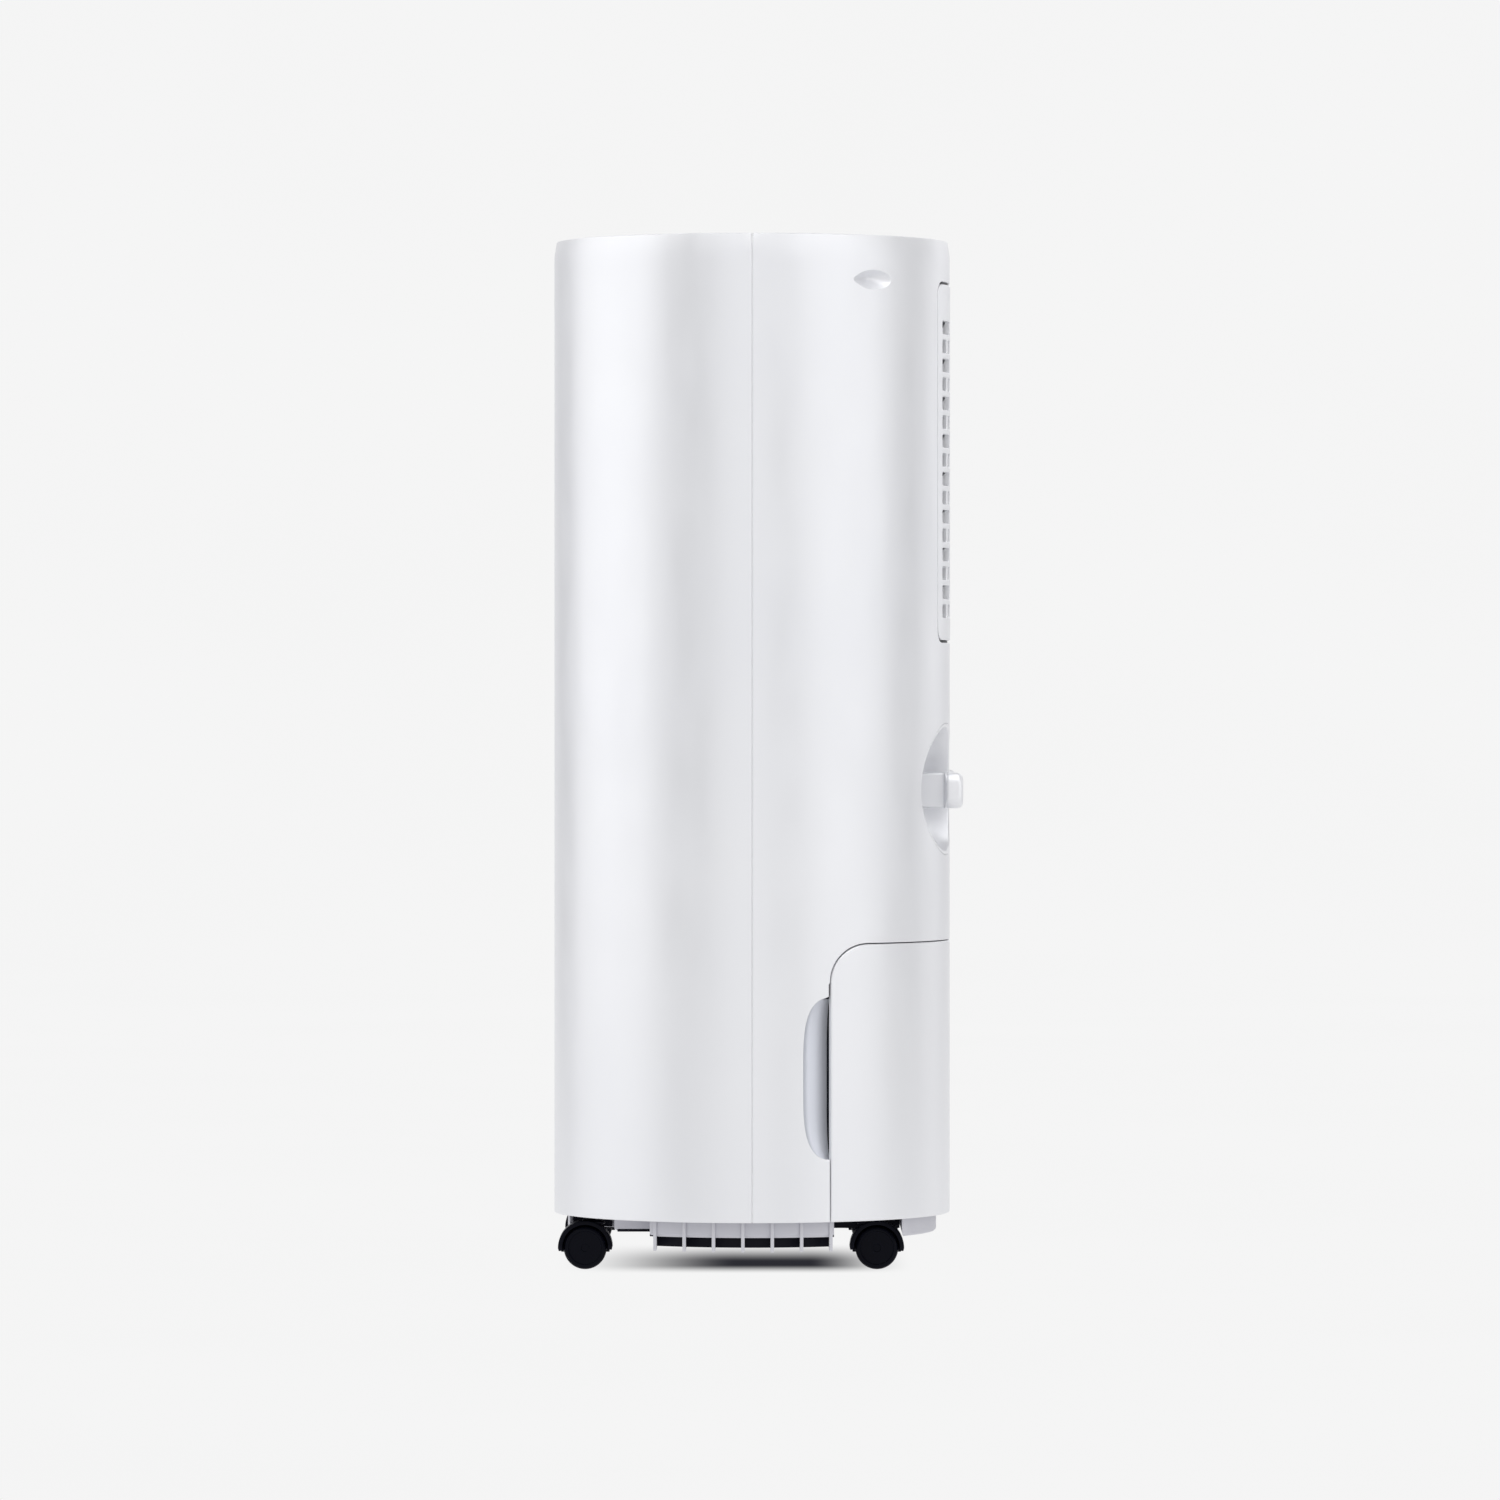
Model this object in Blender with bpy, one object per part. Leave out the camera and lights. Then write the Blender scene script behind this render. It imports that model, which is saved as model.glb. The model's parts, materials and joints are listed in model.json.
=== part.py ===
"""Tall oval compressor dehumidifier on four twin-wheel casters.

Metres, +Z up, front towards -Y, back towards +Y, floor at z = 0. Everything is modelled about the middle
of the casing, and an empty then shifts it so that the origin is the middle of the whole footprint.
"""
import math

import bmesh
import bpy
from mathutils import Matrix, Vector

# Casing
HEIGHT = 0.600
WIDTH = 0.370
DEPTH = 0.232
WALL = 0.003
GAP = 0.0003
SHELL_BOTTOM = 0.0315
RIM_ROUND = 0.0025
END_RADIUS = DEPTH / 2
INNER_RADIUS = END_RADIUS - WALL
END_X = WIDTH / 2 - END_RADIUS
SEAM_ANGLE = math.degrees(GAP / END_RADIUS)
ARC_STEP = 7.5
ROUND_STEPS = 16
FINE_STEPS = 28
WHEEL_STEPS = 20

# Cord cleats: a round dish at each rear corner with a T-shaped hook
CLEAT_X = 0.0925
CLEAT_Z = 0.2795
CLEAT_PROUD = 0.007
DISH_RADIUS = 0.0365
DISH_FLOOR = 0.090
DISH_WALL = 0.0022
HOOK_THICK = 0.0104
HOOK_HALF_WIDTH = 0.022
HOOK_HALF_HEIGHT = 0.011
STEM_HALF_WIDTH = 0.009
STEM_HALF_HEIGHT = 0.0098

GLAND_Z = 0.2195
GLAND_BORE = 0.0035
GLAND_NECK = 0.0056
GLAND_FLANGE = 0.0080
GLAND_HOLE = 0.0060

# Rear air inlet
GRILLE_LOW = 0.366
GRILLE_HIGH = 0.5745
GRILLE_EDGE_ANGLE = 68.7
GRILLE_ROWS = 16
GRILLE_PITCH = 0.01103
GRILLE_TOP_SLOT = 0.5489
SLOT_HEIGHT = 0.0079
SLOT_HALF_SPAN = 0.103
SLOT_COLUMNS = 3
SLOT_BAR = 0.003
GRILLE_CORNER = 0.008
FILTER_HALF_WIDTH = 0.100
FILTER_LOW = 0.3725
FILTER_HIGH = 0.5715
FILTER_RIM = 0.006
FILTER_FRONT = 0.0945
FILTER_BACK = 0.1000
NETTING_FRONT = 0.0965
NETTING_BACK = 0.0975

# Water tank and the panel in front of it
TANK_TOP = 0.1915
TANK_EDGE_Y = 0.045
TANK_CORNER = 0.022
BUCKET_HALF_WIDTH = 0.150
BUCKET_FRONT = 0.002
BUCKET_LOW = 0.0387
BUCKET_HIGH = 0.1745
BUCKET_WALL = 0.0025
LID_THICK = 0.003
INLET_HALF_WIDTH = 0.035
INLET_FRONT = 0.068
INLET_BACK = 0.098
LUG_THICK = 0.004
LUG_HALF_DEPTH = 0.006
LUG_HEIGHT = 0.008
HANDLE_PIVOT_Y = 0.060
HANDLE_REACH = 0.046
HANDLE_HALF_WIDTH = 0.118
HANDLE_BAR = 0.008
HANDLE_THICK = 0.004
FLOAT_PIVOT = (-0.115, 0.012, 0.1545)
FLOAT_HALF_WIDTH = 0.012
FLOAT_REACH = 0.038
FLOAT_DROP = 0.020

# Finger scoops near the top and beside the tank
SCOOP_Z = 0.5755
SCOOP_ANGLE = 37.0
SCOOP_HALF_WIDTH = 0.013
SCOOP_HALF_HEIGHT = 0.0055
GRIP_LOW = 0.0675
GRIP_HIGH = 0.1605
GRIP_FRONT_Y = 0.0295
GRIP_DEPTH = 0.010

# Base pan, ribs and casters
PAN_LOW = 0.0245
PAN_STEP = SHELL_BOTTOM + 0.0005
PAN_HIGH = 0.038
PAN_RADIUS = END_RADIUS - 0.008
RIB_FIRST_Y = -0.0560
RIB_PITCH = 0.0169
RIB_COUNT = 7
RIB_THICK = 0.002
RIB_LOW = 0.0138
RIB_ROOT = 0.0222
RIB_INNER_X = 0.125
RIB_OUTER_X = 0.157
DUCT_LOW = 0.0158
DUCT_X = 0.1460
DUCT_WALL = 0.003
WHEEL_RADIUS = 0.0125
WHEEL_FLANK = 0.0016
WHEEL_WIDTH = 0.0072
AXLE_RADIUS = 0.0018
HOOD_OUTER = 0.0156
HOOD_INNER = 0.0133
HOOD_HALF_WIDTH = 0.009
WEB_HALF_THICK = 0.0012
AXLE_HALF_LENGTH = 0.0075
HUB_RADIUS = 0.0045
NECK_LOW = 0.0264
NECK_RADIUS = 0.0075
CASTER_TRAIL = 0.004
WELL_RADIUS = 0.0180
WELL_TOP = 0.034
PIN_RADIUS = 0.004
CASTERS = {
    "front_left": (-0.101, -0.0932, -1),
    "front_right": (0.101, -0.0932, -1),
    "rear_left": (-0.101, 0.0687, 1),
    "rear_right": (0.101, 0.0687, 1),
}

# Top deck
DECK_LOW = 0.586
DECK_HIGH = 0.5975
DECK_RADIUS = INNER_RADIUS - 0.0005
OUTLET_HALF_WIDTH = 0.112
OUTLET_FRONT = -0.046
OUTLET_BACK = 0.0145
LOUVER_AXIS_Y = 0.0095
LOUVER_AXIS_Z = 0.5945
LOUVER_THICK = 0.004
PANEL_HALF_WIDTH = 0.090
PANEL_FRONT = -0.092
PANEL_BACK = -0.058
PANEL_THICK = 0.002
BUTTON_Y = -0.075
BUTTON_RADIUS = 0.0055
BUTTON_CLEAR = 0.0005
BUTTON_HEIGHT = 0.012
BUTTON_X = {"power": -0.072, "mode": -0.046, "fan": 0.046, "timer": 0.072}
LENS_HALF_WIDTH = 0.020
LENS_HALF_DEPTH = 0.008

# Electrics, as (lowest corner, highest corner)
BOARD_CORNERS = ((-0.085, -0.0905, 0.5765), (0.085, -0.060, 0.5781))
CASE_CORNERS = ((-0.105, -0.092, 0.205), (-0.015, -0.040, 0.315))
CASE_WALL = 0.0025
SENSOR_CORNERS = ((0.124, 0.055, 0.480), (0.127, 0.067, 0.498))
SWITCH_CORNERS = ((-0.072, -0.012, 0.149), (-0.048, 0.0012, 0.166))
MOTOR_Z = 0.572
MOTOR_RADIUS = 0.011
MOTOR_SPAN = (-0.136, -0.120)

# Fan, coils and compressor
FAN_Z = 0.450
FAN_FRONT = -0.052
FAN_BACK = 0.020
SCROLL_WALL = 0.0025
SCROLL_START = 0.083
SCROLL_END = 0.110
SCROLL_TONGUE = 100
SCROLL_TOP = 0.584
SCROLL_LEFT = 0.105
SCROLL_EYE = 0.055
IMPELLER_RADIUS = 0.075
IMPELLER_HUB = 0.022
BLADE_COUNT = 16
BLADE_THICK = 0.002
SHAFT_RADIUS = 0.004
COIL_HALF_WIDTH = 0.098
COIL_LOW = 0.340
COIL_HIGH = 0.572
TRAY_HALF_WIDTH = 0.108
TRAY_FRONT = 0.038
TRAY_BACK = 0.0925
TRAY_LOW = 0.318
TRAY_HIGH = 0.3365
TRAY_WALL = 0.002
DRAIN_Y = 0.074
DRAIN_LOW = 0.236
DRAIN_RADIUS = 0.006
DRAIN_BORE = 0.0042
FIN_COUNT = 15
FIN_THICK = 0.002
COIL_SPINE = 0.004
COILS = {"condenser_coil": (0.042, 0.062), "evaporator_coil": (0.067, 0.089)}
SUCTION_RADIUS = 0.004
DISCHARGE_RADIUS = 0.003
CAPILLARY_RADIUS = 0.0012
COMPRESSOR_X = 0.060
COMPRESSOR_Y = -0.056
COMPRESSOR_LOW = 0.0495
COMPRESSOR_SHAPE = ((0.0, 0.032), (0.005, 0.043), (0.017, 0.046), (0.123, 0.046), (0.137, 0.039), (0.144, 0.022))
COMPRESSOR_HEIGHT = 0.145
FOOT_RADIUS = 0.007
FOOT_RING = 0.024


def clear_scene():
    """Start from nothing."""
    for item in list(bpy.data.objects):
        bpy.data.objects.remove(item)


def make_material(name, color, roughness, metallic=0.0, alpha=1.0):
    """Return a Principled material."""
    material = bpy.data.materials.new(name)
    material.use_nodes = True
    shader = material.node_tree.nodes["Principled BSDF"]
    shader.inputs["Base Color"].default_value = (*color, 1.0)
    shader.inputs["Roughness"].default_value = roughness
    shader.inputs["Metallic"].default_value = metallic
    shader.inputs["Alpha"].default_value = alpha
    return material


def add_object(name, solid, finish, origin=(0.0, 0.0, 0.0), smooth=True):
    """Turn a bmesh into a named object whose origin lies at the given point."""
    bmesh.ops.translate(solid, verts=solid.verts, vec=-Vector(origin))
    bmesh.ops.recalc_face_normals(solid, faces=solid.faces)
    mesh = bpy.data.meshes.new(name)
    solid.to_mesh(mesh)
    solid.free()
    item = bpy.data.objects.new(name, mesh)
    item.location = origin
    bpy.context.collection.objects.link(item)
    dress(item, finish, smooth)
    return item


def dress(item, finish, smooth=True):
    """Give an object its own material and smooth its round faces."""
    color, roughness, metallic, alpha = finish
    item.data.materials.clear()
    item.data.materials.append(make_material(item.name, color, roughness, metallic, alpha))
    if smooth:
        item.data.shade_smooth()
        item.data.set_sharp_from_angle(angle=math.radians(30))


def combine(target, tool, operation, finish):
    """Apply a Boolean to the target and remove the tool."""
    modifier = target.modifiers.new("boolean", "BOOLEAN")
    modifier.operation = operation
    modifier.object = tool
    bpy.context.view_layer.update()
    graph = bpy.context.evaluated_depsgraph_get()
    mesh = bpy.data.meshes.new_from_object(target.evaluated_get(graph))
    target.modifiers.remove(modifier)
    target.data = mesh
    bpy.data.objects.remove(tool)
    dress(target, finish)


def cut(target, solid, finish):
    """Cut a bmesh solid out of an object."""
    combine(target, add_object("cutter", solid, finish, smooth=False), "DIFFERENCE", finish)


def weld(target, solid, finish):
    """Join a bmesh solid onto an object."""
    combine(target, add_object("addition", solid, finish, smooth=False), "UNION", finish)


def keep(target, solid, finish):
    """Keep only what lies inside a bmesh solid."""
    combine(target, add_object("limit", solid, finish, smooth=False), "INTERSECT", finish)


def place(axis, a, b, along):
    """Map an outline point (a, b) and a distance along the axis to x, y, z."""
    if axis == "X":
        return (along, a, b)
    if axis == "Y":
        return (a, along, b)
    return (a, b, along)


def prism(outline, low, high, axis="Z"):
    """Push a closed outline along an axis."""
    solid = bmesh.new()
    base = solid.faces.new([solid.verts.new(place(axis, a, b, low)) for a, b in outline])
    pushed = bmesh.ops.extrude_face_region(solid, geom=[base])["geom"]
    top = [item for item in pushed if isinstance(item, bmesh.types.BMVert)]
    bmesh.ops.translate(solid, verts=top, vec=place(axis, 0.0, 0.0, high - low))
    return solid


def box(low, high):
    """Axis-aligned block between two corners."""
    outline = [(low[0], low[1]), (high[0], low[1]), (high[0], high[1]), (low[0], high[1])]
    return prism(outline, low[2], high[2])


def circle(centre, radius, steps=ROUND_STEPS, start=0.0, stop=360.0):
    """Points round a circle, or round part of one with both ends."""
    whole = stop - start >= 360.0
    count = steps if whole else steps + 1
    turn = math.radians(stop - start) / steps
    first = math.radians(start)
    angles = [first + turn * index for index in range(count)]
    return [(centre[0] + radius * math.cos(angle), centre[1] + radius * math.sin(angle)) for angle in angles]


def drum(axis, centre, radius, low, high, steps=ROUND_STEPS):
    """Cylinder along an axis."""
    return prism(circle(centre, radius, steps), low, high, axis)


def rounded(low, high, radius, steps=3):
    """Rectangle outline with round corners."""
    corners = (
        (high[0] - radius, high[1] - radius, 0.0),
        (low[0] + radius, high[1] - radius, 90.0),
        (low[0] + radius, low[1] + radius, 180.0),
        (high[0] - radius, low[1] + radius, 270.0),
    )
    points = []
    for a, b, start in corners:
        points += circle((a, b), radius, steps, start, start + 90.0)
    return points


def lathe(profile, axis, centre, steps=ROUND_STEPS, facet_down=False):
    """Turn a profile of (along, radius) points round an axis; its ends lie on the axis or meet."""
    solid = bmesh.new()
    turn = 2 * math.pi / steps
    first = turn / 2 - math.pi / 2 if facet_down else 0.0
    grow = 1 / math.cos(turn / 2) if facet_down else 1.0
    rings = []
    for along, radius in profile:
        if radius == 0.0:
            rings.append([solid.verts.new(place(axis, centre[0], centre[1], along))] * steps)
            continue
        ring = []
        for index in range(steps):
            angle = first + turn * index
            a = centre[0] + radius * grow * math.cos(angle)
            b = centre[1] + radius * grow * math.sin(angle)
            ring.append(solid.verts.new(place(axis, a, b, along)))
        rings.append(ring)
    closed = profile[0][1] > 0.0
    pairs = list(zip(rings, rings[1:])) + ([(rings[-1], rings[0])] if closed else [])
    for one, two in pairs:
        for index in range(steps):
            after = (index + 1) % steps
            corners = [one[index], one[after], two[after], two[index]]
            solid.faces.new(list(dict.fromkeys(corners)))
    return solid


def stadium_arc(radius, start, stop):
    """Points along the casing's oval from one angle to another, counter-clockwise from +X."""
    angles = [start]
    step = math.floor(start / ARC_STEP) + 1
    while step * ARC_STEP < stop:
        angles.append(step * ARC_STEP)
        step += 1
    angles.append(stop)
    points = []
    for angle in angles:
        sides = {90.0: (1, -1), 270.0: (-1, 1)}.get(angle, (-1,) if 90 < angle < 270 else (1,))
        for side in sides:
            x = side * END_X + radius * math.cos(math.radians(angle))
            points.append((x, radius * math.sin(math.radians(angle))))
    return points


def stadium(radius):
    """The whole oval."""
    return stadium_arc(radius, 0.0, 360.0)[:-1]


def stadium_wall(section, start, stop):
    """Sweep a closed section of (radius, height) points along part of the oval."""
    solid = bmesh.new()
    rails = [[solid.verts.new((x, y, z)) for x, y in stadium_arc(radius, start, stop)] for radius, z in section]
    for one, two in zip(rails, rails[1:] + rails[:1]):
        for index in range(len(one) - 1):
            solid.faces.new((one[index], one[index + 1], two[index + 1], two[index]))
    for end in (0, -1):
        solid.faces.new([rail[end] for rail in rails])
    return solid


def stadium_stack(section):
    """Closed oval solid whose outer side follows (radius, height) points from bottom to top."""
    solid = bmesh.new()
    rings = [[solid.verts.new((x, y, z)) for x, y in stadium(radius)] for radius, z in section]
    for one, two in zip(rings, rings[1:]):
        for index in range(len(one)):
            after = (index + 1) % len(one)
            solid.faces.new((one[index], one[after], two[after], two[index]))
    solid.faces.new(rings[0])
    solid.faces.new(rings[-1])
    return solid


def comb(first, pitch, count, thick, back, root, tip):
    """Outline of a comb: a spine from back to root with teeth that reach tip."""
    points = [(first - thick / 2, back)]
    for index in range(count):
        left = first + index * pitch - thick / 2
        points += [(left, tip), (left + thick, tip)]
        if index < count - 1:
            points += [(left + thick, root), (left + pitch, root)]
    points.append((first + (count - 1) * pitch + thick / 2, back))
    return points


def smooth_path(knots, steps=3):
    """Points of a Catmull-Rom curve through the knots."""
    knots = [Vector(knot) for knot in knots]
    padded = [2 * knots[0] - knots[1]] + knots + [2 * knots[-1] - knots[-2]]
    points = []
    for before, start, end, after in zip(padded, padded[1:], padded[2:], padded[3:]):
        for index in range(steps):
            t = index / steps
            points.append(
                0.5 * (2 * start + (end - before) * t
                       + (2 * before - 5 * start + 4 * end - after) * t * t
                       + (3 * start - before - 3 * end + after) * t * t * t)
            )
    return points + [knots[-1]]


def add_tube(name, knots, radius, finish):
    """Round tube along a smooth curve."""
    points = smooth_path(knots)
    curve = bpy.data.curves.new(name, "CURVE")
    curve.dimensions = "3D"
    curve.bevel_depth = radius
    curve.bevel_resolution = 2
    curve.use_fill_caps = True
    spline = curve.splines.new("POLY")
    spline.points.add(len(points) - 1)
    for item, point in zip(spline.points, points):
        item.co = (*point, 1.0)
    tube = bpy.data.objects.new(name, curve)
    bpy.context.collection.objects.link(tube)
    color, roughness, metallic, alpha = finish
    curve.materials.append(make_material(name, color, roughness, metallic, alpha))
    return tube


# Finishes: colour, roughness, metallic, alpha
WHITE = ((0.80, 0.80, 0.82), 0.38, 0.0, 1.0)
TRIM = ((0.56, 0.56, 0.60), 0.50, 0.0, 1.0)
BLACK = ((0.018, 0.019, 0.024), 0.45, 0.0, 1.0)
GLOSS_BLACK = ((0.012, 0.012, 0.014), 0.12, 0.0, 1.0)
LENS = ((0.05, 0.09, 0.10), 0.06, 0.0, 0.6)
TANK_CLEAR = ((0.62, 0.70, 0.76), 0.20, 0.0, 0.7)
STEEL = ((0.07, 0.07, 0.08), 0.40, 0.6, 1.0)
COPPER = ((0.72, 0.38, 0.24), 0.28, 1.0, 1.0)
ALUMINIUM = ((0.76, 0.77, 0.78), 0.35, 1.0, 1.0)
BOARD = ((0.05, 0.22, 0.12), 0.55, 0.0, 1.0)
RUBBER = ((0.03, 0.03, 0.03), 0.80, 0.0, 1.0)
MESH = ((0.22, 0.23, 0.25), 0.85, 0.0, 1.0)


def shell_section(radius_in):
    """Wall section of the casing with its rounded top rim."""
    return [
        (radius_in, SHELL_BOTTOM),
        (END_RADIUS, SHELL_BOTTOM),
        (END_RADIUS, HEIGHT - RIM_ROUND),
        (END_RADIUS - RIM_ROUND * 0.3, HEIGHT - RIM_ROUND * 0.3),
        (END_RADIUS - RIM_ROUND, HEIGHT),
        (radius_in, HEIGHT),
    ]


def tank_outline(clear):
    """Side view outline of the tank's opening, grown by the clearance, in (y, z)."""
    edge = TANK_EDGE_Y - clear
    top = TANK_TOP + clear
    corner = circle((edge + TANK_CORNER, top - TANK_CORNER), TANK_CORNER, 6, 90.0, 180.0)
    far = END_RADIUS + 0.02
    return [(far, top)] + corner + [(edge, 0.0), (far, 0.0)]


def grille_half_width():
    """Half the width of the air inlet panel."""
    return END_X + END_RADIUS * math.cos(math.radians(GRILLE_EDGE_ANGLE))


def on_wall(angle, radius):
    """Point (x, y) of the right-hand round end."""
    turn = math.radians(angle)
    return END_X + radius * math.cos(turn), radius * math.sin(turn)


def ellipsoid(centre, size, turn):
    """Stretched ball turned about Z."""
    solid = bmesh.new()
    bmesh.ops.create_uvsphere(solid, u_segments=16, v_segments=10, radius=1.0)
    bmesh.ops.transform(solid, matrix=Matrix.Diagonal((*size, 1.0)), verts=solid.verts)
    bmesh.ops.transform(solid, matrix=Matrix.Rotation(math.radians(turn), 4, "Z"), verts=solid.verts)
    bmesh.ops.translate(solid, verts=solid.verts, vec=centre)
    return solid


def scoop_pad(side):
    """Thick patch behind a finger scoop."""
    solid = box((-0.008, -0.017, SCOOP_Z - 0.0095), (0.0, 0.017, SCOOP_Z + 0.0095))
    turn = Matrix.Rotation(math.radians(SCOOP_ANGLE), 4, "Z")
    bmesh.ops.transform(solid, matrix=turn, verts=solid.verts)
    x, y = on_wall(SCOOP_ANGLE, END_RADIUS - WALL / 2)
    bmesh.ops.translate(solid, verts=solid.verts, vec=(x, y, 0.0))
    if side < 0:
        mirror(solid)
    return solid


def mirror(solid):
    """Turn a right-hand solid into a left-hand one."""
    bmesh.ops.scale(solid, vec=(-1.0, 1.0, 1.0), verts=solid.verts)
    bmesh.ops.reverse_faces(solid, faces=solid.faces)


def grip_pad(side):
    """Thick patch behind a hand grip, in front of the tank's edge."""
    low = (0.158, GRIP_FRONT_Y - 0.003, GRIP_LOW - 0.004)
    high = (0.1755, TANK_EDGE_Y + 0.001, GRIP_HIGH + 0.004)
    solid = box(low, high)
    if side < 0:
        mirror(solid)
    return solid


def grip_pocket(side):
    """The hollow that fingers reach into to pull the tank."""
    edge = on_wall(math.degrees(math.asin(TANK_EDGE_Y / END_RADIUS)), END_RADIUS)[0]
    outline = rounded((GRIP_FRONT_Y, GRIP_LOW), (TANK_EDGE_Y + 0.014, GRIP_HIGH), 0.008)
    solid = prism(outline, edge - GRIP_DEPTH, WIDTH / 2 + 0.01, "X")
    if side < 0:
        mirror(solid)
    return solid


def make_shells():
    """Front shell, and the rear shell with all its openings."""
    add_object("front_shell", stadium_wall(shell_section(INNER_RADIUS), 180 + SEAM_ANGLE, 360 - SEAM_ANGLE), WHITE)
    rear = add_object("rear_shell", stadium_wall(shell_section(INNER_RADIUS), SEAM_ANGLE, 180 - SEAM_ANGLE), WHITE)
    within = END_RADIUS - WALL / 5
    for side in (-1, 1):
        for pad in (scoop_pad(side), grip_pad(side)):
            lump = add_object("lump", pad, WHITE)
            keep(lump, stadium_stack([(within, 0.0), (within, HEIGHT)]), WHITE)
            combine(rear, lump, "UNION", WHITE)
    for side in (-1, 1):
        x, y = on_wall(SCOOP_ANGLE, END_RADIUS + 0.001)
        size = (0.0065, SCOOP_HALF_WIDTH * 1.12, SCOOP_HALF_HEIGHT * 1.12)
        cut(rear, ellipsoid((side * x, y, SCOOP_Z), size, side * SCOOP_ANGLE), WHITE)
        cut(rear, grip_pocket(side), WHITE)
        cut(rear, drum("Y", (side * CLEAT_X, CLEAT_Z), DISH_RADIUS + GAP, 0.06, 0.13, FINE_STEPS), WHITE)
    cut(rear, prism(tank_outline(GAP), -0.2, 0.2, "X"), WHITE)
    half = grille_half_width()
    opening = rounded((-half - GAP, GRILLE_LOW - GAP), (half + GAP, GRILLE_HIGH + GAP), GRILLE_CORNER)
    cut(rear, prism(opening, 0.09, 0.13, "Y"), WHITE)
    cut(rear, drum("Y", (0.0, GLAND_Z), GLAND_HOLE, 0.10, 0.13), WHITE)


def make_gland():
    """Flush bush where the supply cable passes through the rear shell."""
    inside = INNER_RADIUS - GAP
    profile = [
        (inside - WALL, GLAND_BORE),
        (END_RADIUS - 0.0008, GLAND_BORE),
        (END_RADIUS, GLAND_BORE + 0.0008),
        (END_RADIUS, GLAND_NECK),
        (inside, GLAND_NECK),
        (inside, GLAND_FLANGE),
        (inside - WALL, GLAND_FLANGE),
    ]
    add_object("cord_gland", lathe(profile, "Y", (0.0, GLAND_Z)), RUBBER)


def make_cleats():
    """A dish and a T-shaped hook at each rear corner."""
    for side, word in ((-1, "left"), (1, "right")):
        centre = (side * CLEAT_X, CLEAT_Z)
        cup = drum("Y", centre, DISH_RADIUS, DISH_FLOOR - DISH_WALL, 0.12, FINE_STEPS)
        dish = add_object("cleat_dish_" + word, cup, WHITE)
        keep(dish, stadium_stack([(END_RADIUS, 0.2), (END_RADIUS, 0.35)]), WHITE)
        cut(dish, drum("Y", centre, DISH_RADIUS - DISH_WALL, DISH_FLOOR, 0.13, FINE_STEPS), WHITE)
        proud = END_RADIUS + CLEAT_PROUD
        bar = rounded(
            (centre[0] - HOOK_HALF_WIDTH, CLEAT_Z - HOOK_HALF_HEIGHT),
            (centre[0] + HOOK_HALF_WIDTH, CLEAT_Z + HOOK_HALF_HEIGHT),
            0.007,
        )
        hook = add_object("cord_cleat_" + word, prism(bar, proud - HOOK_THICK, proud, "Y"), WHITE)
        low = (centre[0] - STEM_HALF_WIDTH, DISH_FLOOR + GAP, CLEAT_Z - STEM_HALF_HEIGHT)
        high = (centre[0] + STEM_HALF_WIDTH, proud - HOOK_THICK / 2, CLEAT_Z + STEM_HALF_HEIGHT)
        weld(hook, box(low, high), WHITE)


def make_grille():
    """Air inlet panel with rows of slots, and the filter behind it."""
    half = grille_half_width()
    arc = GRILLE_EDGE_ANGLE - 6
    section = [(INNER_RADIUS, 0.35), (END_RADIUS, 0.35), (END_RADIUS, 0.59), (INNER_RADIUS, 0.59)]
    grille = add_object("inlet_grille", stadium_wall(section, arc, 180 - arc), WHITE)
    outline = rounded((-half, GRILLE_LOW), (half, GRILLE_HIGH), GRILLE_CORNER)
    keep(grille, prism(outline, 0.09, 0.13, "Y"), WHITE)
    slots = bmesh.new()
    width = 2 * SLOT_HALF_SPAN / SLOT_COLUMNS
    for row in range(GRILLE_ROWS):
        z = GRILLE_TOP_SLOT - row * GRILLE_PITCH
        for column in range(SLOT_COLUMNS):
            x = -SLOT_HALF_SPAN + (column + 0.5) * width
            spot = Matrix.Translation((x, 0.11, z))
            size = Matrix.Diagonal((width - SLOT_BAR, 0.04, SLOT_HEIGHT, 1.0))
            bmesh.ops.create_cube(slots, size=1.0, matrix=spot @ size)
    cut(grille, slots, WHITE)

    sides = (-FILTER_HALF_WIDTH, FILTER_LOW), (FILTER_HALF_WIDTH, FILTER_HIGH)
    frame = add_object("filter_frame", prism(rounded(*sides, FILTER_RIM), FILTER_FRONT, FILTER_BACK, "Y"), TRIM)
    cut(frame, prism(filter_window(FILTER_RIM), 0.09, 0.11, "Y"), TRIM)
    netting = prism(filter_window(FILTER_RIM + GAP), NETTING_FRONT, NETTING_BACK, "Y")
    add_object("filter_mesh", netting, MESH)


def filter_window(inset):
    """Opening of the filter's frame, inset from its outline, in (x, z)."""
    half = FILTER_HALF_WIDTH - inset
    return rounded((-half, FILTER_LOW + inset), (half, FILTER_HIGH - inset), 0.004)


def bucket_outline(inset):
    """Plan of the tank: straight front, rear following the casing."""
    half = BUCKET_HALF_WIDTH - inset
    radius = INNER_RADIUS - 0.0005 - inset
    angle = math.degrees(math.acos((half - END_X) / radius))
    front = BUCKET_FRONT + inset
    return [(-half, front), (half, front)] + stadium_arc(radius, angle, 180 - angle)


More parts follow.
